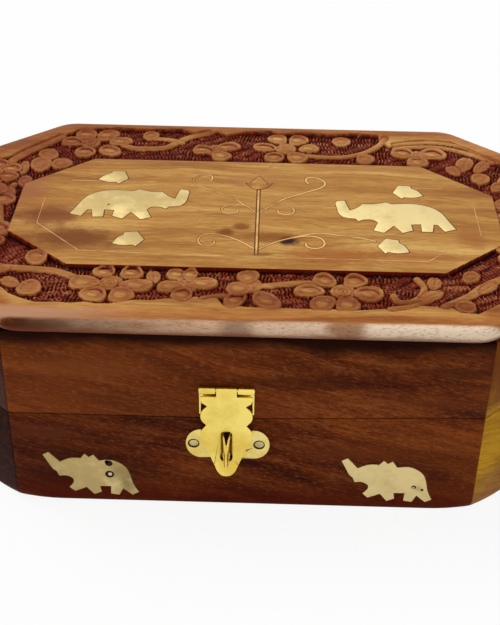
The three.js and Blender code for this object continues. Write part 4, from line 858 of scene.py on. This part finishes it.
class Relief:                                   # heights over a grid, cut motif by motif
    def __init__(self, xs, ys):
        self.xs, self.ys = xs, ys
        self.x, self.y = np.meshgrid(xs, ys)
        self.height = np.full(self.x.shape, float(carving["ground"])) + 0.1 * wander(self.x, self.y, 5, 1)

    def window(self, x, y, reach):
        columns = slice(*np.searchsorted(self.xs, (x - reach, x + reach)))
        rows = slice(*np.searchsorted(self.ys, (y - reach, y + reach)))
        return rows, columns

    def lay(self, area, distance, top, groove):
        edge = distance + 0.08 * wander(self.x[area], self.y[area], 3, 5)
        inside = smooth(carving["softEdge"], -carving["softEdge"], edge)
        cut = groove * np.exp(-(np.maximum(edge, 0) / 0.3) ** 2)
        below = np.maximum(self.height[area] - cut, carving["ground"] - 0.1)
        self.height[area] = below * (1 - inside) + top * inside

    def hatch(self, x, y, wide, deep, tilt):
        area = self.window(x, y, max(wide, deep) + 1)
        px, py = self.x[area] - x, self.y[area] - y
        reach = smooth(1.15, 0.7, np.sqrt((px / wide) ** 2 + (py / deep) ** 2))
        u, v = rotated(px, py, tilt)
        u = u + 0.25 * wander(px, py, 4, 9)
        row = np.floor(v / carving["strokeLength"])
        within = v / carving["strokeLength"] - row
        stroke = 0.5 + 0.5 * np.sin(6.2832 * (u / carving["strokePitch"] + 0.37 * row))
        stroke = smooth(0.3, 0.85, stroke) * smooth(0.0, 0.18, within) * smooth(1.0, 0.7, within)
        lift = (carving["hatchRise"] - carving["strokeDepth"] * (1 - stroke)) * reach
        self.height[area] = np.maximum(self.height[area], carving["ground"] + np.maximum(lift, 0))

    def oval(self, x, y, long, wide, degrees):
        area = self.window(x, y, max(long, wide) + 2)
        u, v = rotated(self.x[area] - x, self.y[area] - y, degrees)
        u = u / long
        v = v / (wide * (1 + 0.16 * np.clip(u, -1, 1)))         # wider towards the tip
        return area, u, v, np.hypot(u, v)

    def petal(self, x, y, long, wide, degrees):
        long, wide = long * carving["fullness"], wide * carving["fullness"]
        area, u, v, reach = self.oval(x, y, long, wide, degrees)
        own, bend = 12.9 * x + 7.8 * y, np.arctan2(v, u)        # no two petals are cut alike
        reach = reach * (1 + 0.045 * np.sin(2 * bend + own) + 0.035 * np.sin(3 * bend + 1.7 * own))
        dish = carving["dish"] * (0.7 + 0.5 * math.sin(own) ** 2)
        behind = (0.35 * (self.x[area] - x) + 0.95 * (self.y[area] - y)) / min(long, wide)
        # hollow inside the rim and deepest at the back, with a low swelling in the middle
        level = carving["crest"] - dish * smooth(0.93, 0.62, reach) * (0.25 + 0.9 * smooth(-0.5, 0.55, behind))
        level += 0.5 * smooth(0.8, 0.25, reach) - 0.16 * smooth(0.82, 1.0, reach) - 0.22 * smooth(-0.3, -1.0, u)
        self.lay(area, (reach - 1) * min(long, wide), level, carving["groove"])

    def core(self, x, y):
        radius = carving["coreRadius"]
        area, u, v, reach = self.oval(x, y, radius, radius, 0)
        self.lay(area, (reach - 1) * radius, carving["core"], 0.1)

    def leaf(self, x, y, long, wide, degrees, veins):
        area, u, v, reach = self.oval(x, y, long, wide, degrees)
        if veins:
            level = carving["crest"] - 0.12 - 0.45 * reach ** 2 - 0.3 * np.exp(-(v / 0.12) ** 2)
            level -= 0.16 * (0.5 + 0.5 * np.cos(9 * (v * 1.3 + abs(u) * 0.6)))
        else:
            level = carving["crest"] - 0.5 * smooth(0.82, 0.6, reach) + 0.35 * smooth(0.55, 0.0, reach)
        self.lay(area, (reach - 1) * min(long, wide), level, carving["groove"])

    def button(self, x, y, radius):
        area, u, v, reach = self.oval(x, y, radius, radius, 0)
        level = carving["crest"] - 0.5 * np.exp(-((reach - 0.55) / 0.13) ** 2) - 0.8 * np.exp(-(reach / 0.2) ** 2)
        self.lay(area, (reach - 1) * radius, level, carving["groove"])

    def vine(self, width, points):
        line = drawnLine(points)
        middle = (line.min(0) + line.max(0)) / 2
        area = self.window(*middle, max(line.max(0) - middle) + width)
        aside = lineDistance(self.x[area], self.y[area], zip(line[:-1], line[1:]))
        level = carving["crest"] - 0.55 * (aside / (width / 2)) ** 2
        self.lay(area, aside - width / 2, level, carving["groove"])


def blurred(field, cells):
    for axis in (0, 1):
        reach = 3 * cells
        weights = np.exp(-0.5 * (np.arange(-reach, reach + 1) / cells) ** 2)
        weights /= weights.sum()
        field = np.apply_along_axis(
            lambda row: np.convolve(np.pad(row, reach, "edge"), weights, "valid"), axis, field)
    return field


def borderSpots(step):
    middle = insetOutline(plankOutline, (np.array(carving["rims"]) + plan["borderWidths"]) / 2)
    spots = []
    for start, end in sidesOf(middle):
        length = np.linalg.norm(end - start)
        count = max(int(length / step), 1)
        across = np.array([start[1] - end[1], end[0] - start[0]]) / length
        for i in range(count):
            for aside in carving["hatchRows"]:
                spots.append(start + (end - start) * (i + 0.5) / count + across * aside)
    return spots


def carveRelief(xs, ys):
    relief = Relief(xs, ys)
    everywhere = (slice(None), slice(None))
    shift = carving["shift"]
    for x, y, *shape in carving["hatches"]:
        relief.hatch(x, y + shift, *shape)
    tilts = np.random.default_rng(4)
    for x, y in borderSpots(carving["hatchStep"]):
        relief.hatch(x, y, carving["hatchReach"], carving["hatchReach"], tilts.uniform(-25, 45))
    rimGap = -outlineDistance(relief.x, relief.y, np.array(carving["outer"]))
    relief.lay(everywhere, rimGap, carving["proud"] - 0.2 * np.exp(-(rimGap / 0.4) ** 2), 0.3)
    panelGap = outlineDistance(relief.x, relief.y, insetOutline(panelOutline, carving["panelTrim"]))
    relief.height = np.where(panelGap < carving["snap"], carving["proud"], relief.height)
    for width, points in carving["vines"]:
        relief.vine(width, [(x, y + shift) for x, y in points])
    for x, y, *shape in carving["leaves"]:
        relief.leaf(x, y + shift, *shape)
    for (x, y), radius, petals in carving["flowers"]:
        relief.core(x, y + shift)
        for px, py, long, wide in petals:
            relief.petal(px, py + shift, long, wide, math.degrees(math.atan2(py - y, px - x)))
        if radius:
            relief.button(x, y + shift, radius)
    height = np.where(panelGap < carving["snap"], carving["proud"], relief.height)
    height = np.where((rimGap < -1.2) & (height > -0.05) & (height < 0.05), carving["proud"], height)
    # the sunk ground is coloured a dark wine red; painted shade darkens the hollows and creases, and a painted shadow
    # lies along and in front of the panel's edge
    hollow, crease = blurred(height, 4) - height, blurred(height, 1) - height
    stainAndShade = smooth(-0.5, -1.75, height) * 0.75 + smooth(0.15, 0.9, hollow) * 0.55 + smooth(0.03, 0.2, crease) * 0.26
    shade = smooth(-0.1, 0.05, panelGap) * smooth(1.8, 0.9, panelGap) * smooth(-0.5, -0.8, height)
    edge = smooth(0.3, 0.15, np.abs(panelGap)) * 0.55
    stainAndShade = np.where(panelGap < -carving["snap"], 0, np.maximum(np.maximum(stainAndShade, shade), edge))
    # mesh points near the panel's edge are drawn onto it
    slope = np.stack(np.gradient(panelGap, ys, xs), 2)
    slope /= np.linalg.norm(slope, axis=2)[:, :, None] + 1e-9
    near = np.where(np.abs(panelGap) < carving["snap"], panelGap, 0)
    # the carved tint, weaker on the convex rims of the motifs: a painted highlight
    carved = smooth(-0.06, -0.16, height) * (1 - 0.4 * smooth(0.05, 0.2, height - blurred(height, 2)))
    return height, np.clip(stainAndShade, 0, 1), carved, slope * near[:, :, None]


def closeBelow(work, height):                   # walls down from the open edges, and a bottom
    rim = [edge for edge in work.edges if edge.is_boundary]
    walls = bmesh.ops.extrude_edge_only(work, edges=rim)["geom"]
    for vertex in [item for item in walls if isinstance(item, bmesh.types.BMVert)]:
        vertex.co.z = height * mm
    below = [item for item in walls if isinstance(item, bmesh.types.BMEdge)]
    bmesh.ops.triangle_fill(work, use_beauty=False, use_dissolve=False, edges=below)
    bmesh.ops.recalc_face_normals(work, faces=work.faces[:])


def makeCarving():
    outer = insetOutline(plankOutline, np.array(carving["rims"]) - 0.6)
    low, high = outer.min(0), outer.max(0)
    columns = int((high[0] - low[0]) / carving["spacingX"])
    rows = int(2 * (high[1] - low[1]) / (carving["spacingFront"] + carving["spacingBack"]))
    work = bmesh.new()
    bmesh.ops.create_grid(work, x_segments=columns, y_segments=rows, size=1.0)
    xs = np.linspace(low[0], high[0], columns + 1)
    share = np.linspace(0, 1, rows + 1)
    lean = (carving["spacingBack"] - carving["spacingFront"]) / (carving["spacingBack"] + carving["spacingFront"])
    ys = low[1] + (high[1] - low[1]) * ((1 - lean) * share + lean * share ** 2)
    height, stainAndShade, carved, back = carveRelief(xs, ys)
    mark, cut = work.verts.layers.float.new("stainAndShade"), work.verts.layers.float.new("carved")
    for vertex in work.verts:
        column = round((vertex.co.x + 1) / 2 * columns)
        row = round((vertex.co.y + 1) / 2 * rows)
        shiftY, shiftX = back[row, column]
        vertex.co = Vector((xs[column] - shiftX, ys[row] - shiftY, plan["plankTop"] + height[row, column])) * mm
        vertex[mark], vertex[cut] = stainAndShade[row, column], carved[row, column]
    inner = insetOutline(panelOutline, np.array(carving["panelTrim"]) + carving["panelLap"])
    faces = work.faces[:]
    gone = np.nonzero(outlineDistance(*faceCentres(work), inner) < 0)[0]
    bmesh.ops.delete(work, geom=[faces[i] for i in gone], context="FACES")
    for start, end in sidesOf(outer):
        cutAcross(work, (*start, 0), (end[1] - start[1], start[0] - end[0], 0), 1e-8, clear_outer=True)
    closeBelow(work, plan["plankTop"] + carving["slab"])
    return work


def movedOutline(work, old, new, lowest):
    for vertex in work.verts:
        if vertex.co.z < lowest * mm:
            continue
        point = np.array(vertex.co[:2]) / mm
        for i in range(8):
            start, run = old[i], old[(i + 1) % 8] - old[i]
            along = np.dot(point - start, run) / np.dot(run, run)
            if -1e-3 < along < 1 + 1e-3 and np.linalg.norm(point - start - run * along) < 0.03:
                place = new[i] + (new[(i + 1) % 8] - new[i]) * along
                vertex.co.x, vertex.co.y = place[0] * mm, place[1] * mm
                break


def openedPlank():
    work = mergedCopy("lid_carved_plank", flat=False)
    lowest = (plan["plankTop"] - plan["carveDepth"] - 0.1) * mm
    highest = (plan["plankTop"] - 0.05) * mm
    centres = faceCentres(work)
    rim = outlineDistance(*centres, insetOutline(plankOutline, carving["rims"]))
    panel = outlineDistance(*centres, panelOutline)
    cut = [face for face, fromRim, fromPanel in zip(work.faces, rim, panel) if fromRim < 0.02 and fromPanel > -0.02
           and all(v.co.z > lowest for v in face.verts) and any(v.co.z < highest for v in face.verts)]
    bmesh.ops.delete(work, geom=cut, context="FACES")
    closeBelow(work, plan["plankTop"] + carving["slab"] - carving["tuck"])
    trimmed = insetOutline(panelOutline, np.array(carving["panelTrim"]) + carving["tuck"])
    movedOutline(work, panelOutline, trimmed, plan["plankTop"] + carving["slab"] - carving["tuck"] - 0.1)
    return work


def makePlank():
    work = openedPlank()
    for layer in ("stainAndShade", "carved"):
        work.verts.layers.float.new(layer)
    joinTo(work, makeCarving())
    made = addPiece("carved_plank", work, "lid", "carved_top", ["lid_carved_plank"], 60)
    made.data.calc_loop_triangles()
    print("carved plank has", len(made.data.loop_triangles), "triangles")


makePlank()


# Dark rings round the inlays and the nails, partly a filling and partly painted shadow: a ring let in round each,
# its width, how far it stands out, and how far it is shifted to one side, the way a shadow falls.
# Then the nail holes and nails of the inlays.

fillerAndShadow = {
    "lid": {"nodes": bothSides("lid_elephant_{}", "lid_leaf_back_{}", "lid_leaf_front_{}", "lid_lotus"),
            "out": (0, 0, 1), "width": 0.3, "proud": 0.012, "drift": (0.08, -0.16),
            "slot": "carved_top", "finish": pitchAndShadow},
    "wires": {"nodes": bothSides("lid_vine_upper_{}", "lid_vine_lower_{}"),
              "out": (0, 0, 1), "width": 0.16, "proud": 0.012, "drift": (0.06, -0.08),
              "slot": "carved_top", "finish": wirePitchAndShadow},
    "stem": {"nodes": ["lid_stem"],
             "out": (0, 0, 1), "width": 0.5, "proud": 0.012, "drift": (0, 0),
             "slot": "carved_top", "finish": wirePitchAndShadow},
    "front": {"nodes": bothSides("front_elephant_{}"),
              "out": (0, -1, 0), "width": 0.25, "proud": -0.26, "drift": (0.08, -0.06),
              "slot": "board", "finish": pitchAndShadow},
    "nails": {"nodes": bothSides("staple_plate_nail_{}"),
              "out": (0, -1, 0), "width": 0.3, "proud": 0.262, "drift": (-0.12, 0.14),
              "slot": "hardware", "finish": dirtAndShade},
}
ringDepth, ringReach = 0.3, 1.7             # the ring's own depth, and its widths that a sharp corner may reach
nailMarks = {                                   # x, y, z, radius
    "holes": [(-50.8, -74.22, 19.8, 1.4), (-51.6, -74.22, 20.5, 0.8), (-50.8, -74.22, 14.4, 1.7),
              (63.4, -74.22, 11.9, 0.9), (66.6, -74.22, 10.7, 0.6)],
    "heads": [(-50.6, -74.27, 14.5, 0.75), (63.3, -74.27, 11.7, 0.5)],
    "lidHole": (-56.8, 3.5, 86.012, 0.5),
    "thickness": 0.2, "sides": 20,
}


def fillerRing(nodeName, look):
    out = Vector(look["out"])
    rise = 1 if look["out"][2] else 2
    work = mergedCopy(nodeName)
    front = max(vertex.co.dot(out) for vertex in work.verts) - 0.02 * mm
    behind = [face for face in work.faces if face.normal.dot(out) < 0.9 or face.verts[0].co.dot(out) < front]
    bmesh.ops.delete(work, geom=behind, context="FACES")
    for face in work.faces[:]:
        inner = face.verts[:]
        points = np.array([(vertex.co.x, vertex.co[rise]) for vertex in inner]) / mm
        shift = insetOutline(points, np.full(len(points), -look["width"])) - points
        shift *= np.minimum(1, ringReach * look["width"] / np.linalg.norm(shift, axis=1))[:, None]
        walls = bmesh.ops.extrude_edge_only(work, edges=face.edges[:])["geom"]
        outer = {item for item in walls if isinstance(item, bmesh.types.BMVert)}
        for vertex, (along, up) in zip(inner, shift + look["drift"]):
            for edge in vertex.link_edges:
                if edge.other_vert(vertex) in outer:
                    moved = edge.other_vert(vertex)
                    moved.co.x += along * mm
                    moved.co[rise] += up * mm
        bmesh.ops.delete(work, geom=[face], context="FACES_ONLY")
    bmesh.ops.recalc_face_normals(work, faces=work.faces[:])
    bmesh.ops.solidify(work, geom=work.faces[:], thickness=ringDepth * mm)
    front = max(vertex.co.dot(out) for vertex in work.verts) - front - 0.02 * mm
    bmesh.ops.translate(work, verts=work.verts, vec=out * (look["proud"] * mm - front))
    bmesh.ops.recalc_face_normals(work, faces=work.faces[:])
    return work


def addDisc(work, spot, radius, upright):
    turn = Matrix.Rotation(0 if upright else math.pi / 2, 4, "X")
    inward = Vector((0, 0, -1) if upright else (0, 1, 0)) * nailMarks["thickness"] / 2
    bmesh.ops.create_cone(work, cap_ends=True, segments=nailMarks["sides"], radius1=radius * mm,
                          radius2=radius * mm, depth=nailMarks["thickness"] * mm,
                          matrix=Matrix.Translation((Vector(spot) + inward) * mm) @ turn)


def makeFiller(name):
    look = fillerAndShadow[name]
    work = bmesh.new()
    for nodeName in look["nodes"]:
        joinTo(work, fillerRing(nodeName, look))
    if name == "lid":
        *spot, radius = nailMarks["lidHole"]
        addDisc(work, spot, radius, True)
    addPiece(f"{name}_filler", work, bodyOf[look["nodes"][0]], look["slot"], [], finish=look["finish"])


def makeNailMarks(name, spots, slotName, finish):
    discs = bmesh.new()
    for *spot, radius in spots:
        addDisc(discs, spot, radius, False)
    addPiece(name, discs, "base", slotName, [], finish=finish)


for name in fillerAndShadow:
    makeFiller(name)
# dark discs in the nail holes: dirt and painted shade
makeNailMarks("front_elephant_holes", nailMarks["holes"], "board", dirtAndShade)
makeNailMarks("front_elephant_nails", nailMarks["heads"], "nail", None)


# The line that the carver scored round the panel, in four stretches

scoring = {
    "runs": [[(-82.6, 8.7), (-82.6, -11.7), (-64, -30.8), (-20, -32.4), (38, -32.6), (65.7, -32.7), (74.1, -24.3)],
             [(87.6, -13), (87.4, 12)], [(-74, 22.4), (-40, 22.8)], [(60, 22.6), (76, 22.2)]],
    "width": 0.3, "thickness": 0.2, "proud": 0.012,
}


def makeScoring():
    work = bmesh.new()
    height = plan["plankTop"] + scoring["proud"] - scoring["thickness"] / 2
    for run in scoring["runs"]:
        for start, end in zip(run[:-1], run[1:]):
            start, end = Vector((*start, height)), Vector((*end, height))
            turn = (end - start).to_track_quat("X", "Z").to_matrix().to_4x4()
            size = Matrix.Diagonal(((end - start).length * mm, scoring["width"] * mm, scoring["thickness"] * mm, 1))
            bmesh.ops.create_cube(work, size=1, matrix=Matrix.Translation((start + end) / 2 * mm) @ turn @ size)
    addPiece("scored_line", work, "lid", "carved_top", [], finish=scoredWood)


makeScoring()
print("filler laid")


# Velvet linings

linings = {
    "nodes": ["base_floor_lining", "base_wall_lining", "lid_ceiling_lining", "lid_wall_lining"],
    "edge": 0.35, "edgeSegments": 3,
}


def makeLining(nodeName):
    work = softened(nodeName, linings["edge"], linings["edgeSegments"])
    made = addPiece(nodeName + "_velvet", work, bodyOf[nodeName], "lining", [nodeName], 80)


for nodeName in linings["nodes"]:
    makeLining(nodeName)
print("linings made")


# Floor, world and lamps

studio = {
    "floor": tone(250, 250, 250), "floorSize": 6, "floorRoughness": 0.9, "floorShine": 0.1, "floorGlow": 0.9,
    "world": 0.55,
    "sun": 1.5, "sunSize": 32, "sunFrom": (-0.6, 0.35, 1.1),
}


def seenWhite(tree, path):
    bounced = larger(tree, path["Is Glossy Ray"], path["Is Transmission Ray"])
    return larger(tree, path["Is Camera Ray"], bounced)


def makeStudio():
    bpy.ops.mesh.primitive_plane_add(size=studio["floorSize"], location=(0, 0, 0))
    floor = bpy.context.object
    floor.name = "floor"
    made, tree, shader, place = newMaterial("paper")
    shader.inputs["Base Color"].default_value = studio["floor"]
    shader.inputs["Roughness"].default_value = studio["floorRoughness"]
    shader.inputs["Specular IOR Level"].default_value = studio["floorShine"]
    path = put(tree, "LightPath").outputs
    glow = put(tree, "Emission", {"Color": (1, 1, 1, 1), "Strength": 1.0}).outputs[0]
    seen = times(tree, seenWhite(tree, path), studio["floorGlow"])
    both = put(tree, "MixShader", {0: seen, 1: shader.outputs[0], 2: glow}).outputs[0]
    tree.links.new(both, tree.nodes["Material Output"].inputs["Surface"])
    floor.data.materials.append(made)
    world = bpy.data.worlds.new("studio")
    bpy.context.scene.world = world
    world.use_nodes = True
    tree = world.node_tree
    tree.nodes.clear()
    seen = seenWhite(tree, put(tree, "LightPath").outputs)
    dim, white = (put(tree, "Background", {"Color": (1, 1, 1, 1), "Strength": strength}).outputs[0]
                  for strength in (studio["world"], 1.0))
    both = put(tree, "MixShader", {0: seen, 1: dim, 2: white}).outputs[0]
    tree.links.new(both, put(tree, "OutputWorld").inputs[0])
    lamp = bpy.data.lights.new("window", "SUN")
    lamp.energy = studio["sun"]
    lamp.angle = math.radians(studio["sunSize"])
    holder = bpy.data.objects.new("window", lamp)
    holder.rotation_euler = Vector(studio["sunFrom"]).to_track_quat("Z", "Y").to_euler()
    bpy.context.scene.collection.objects.link(holder)


makeStudio()
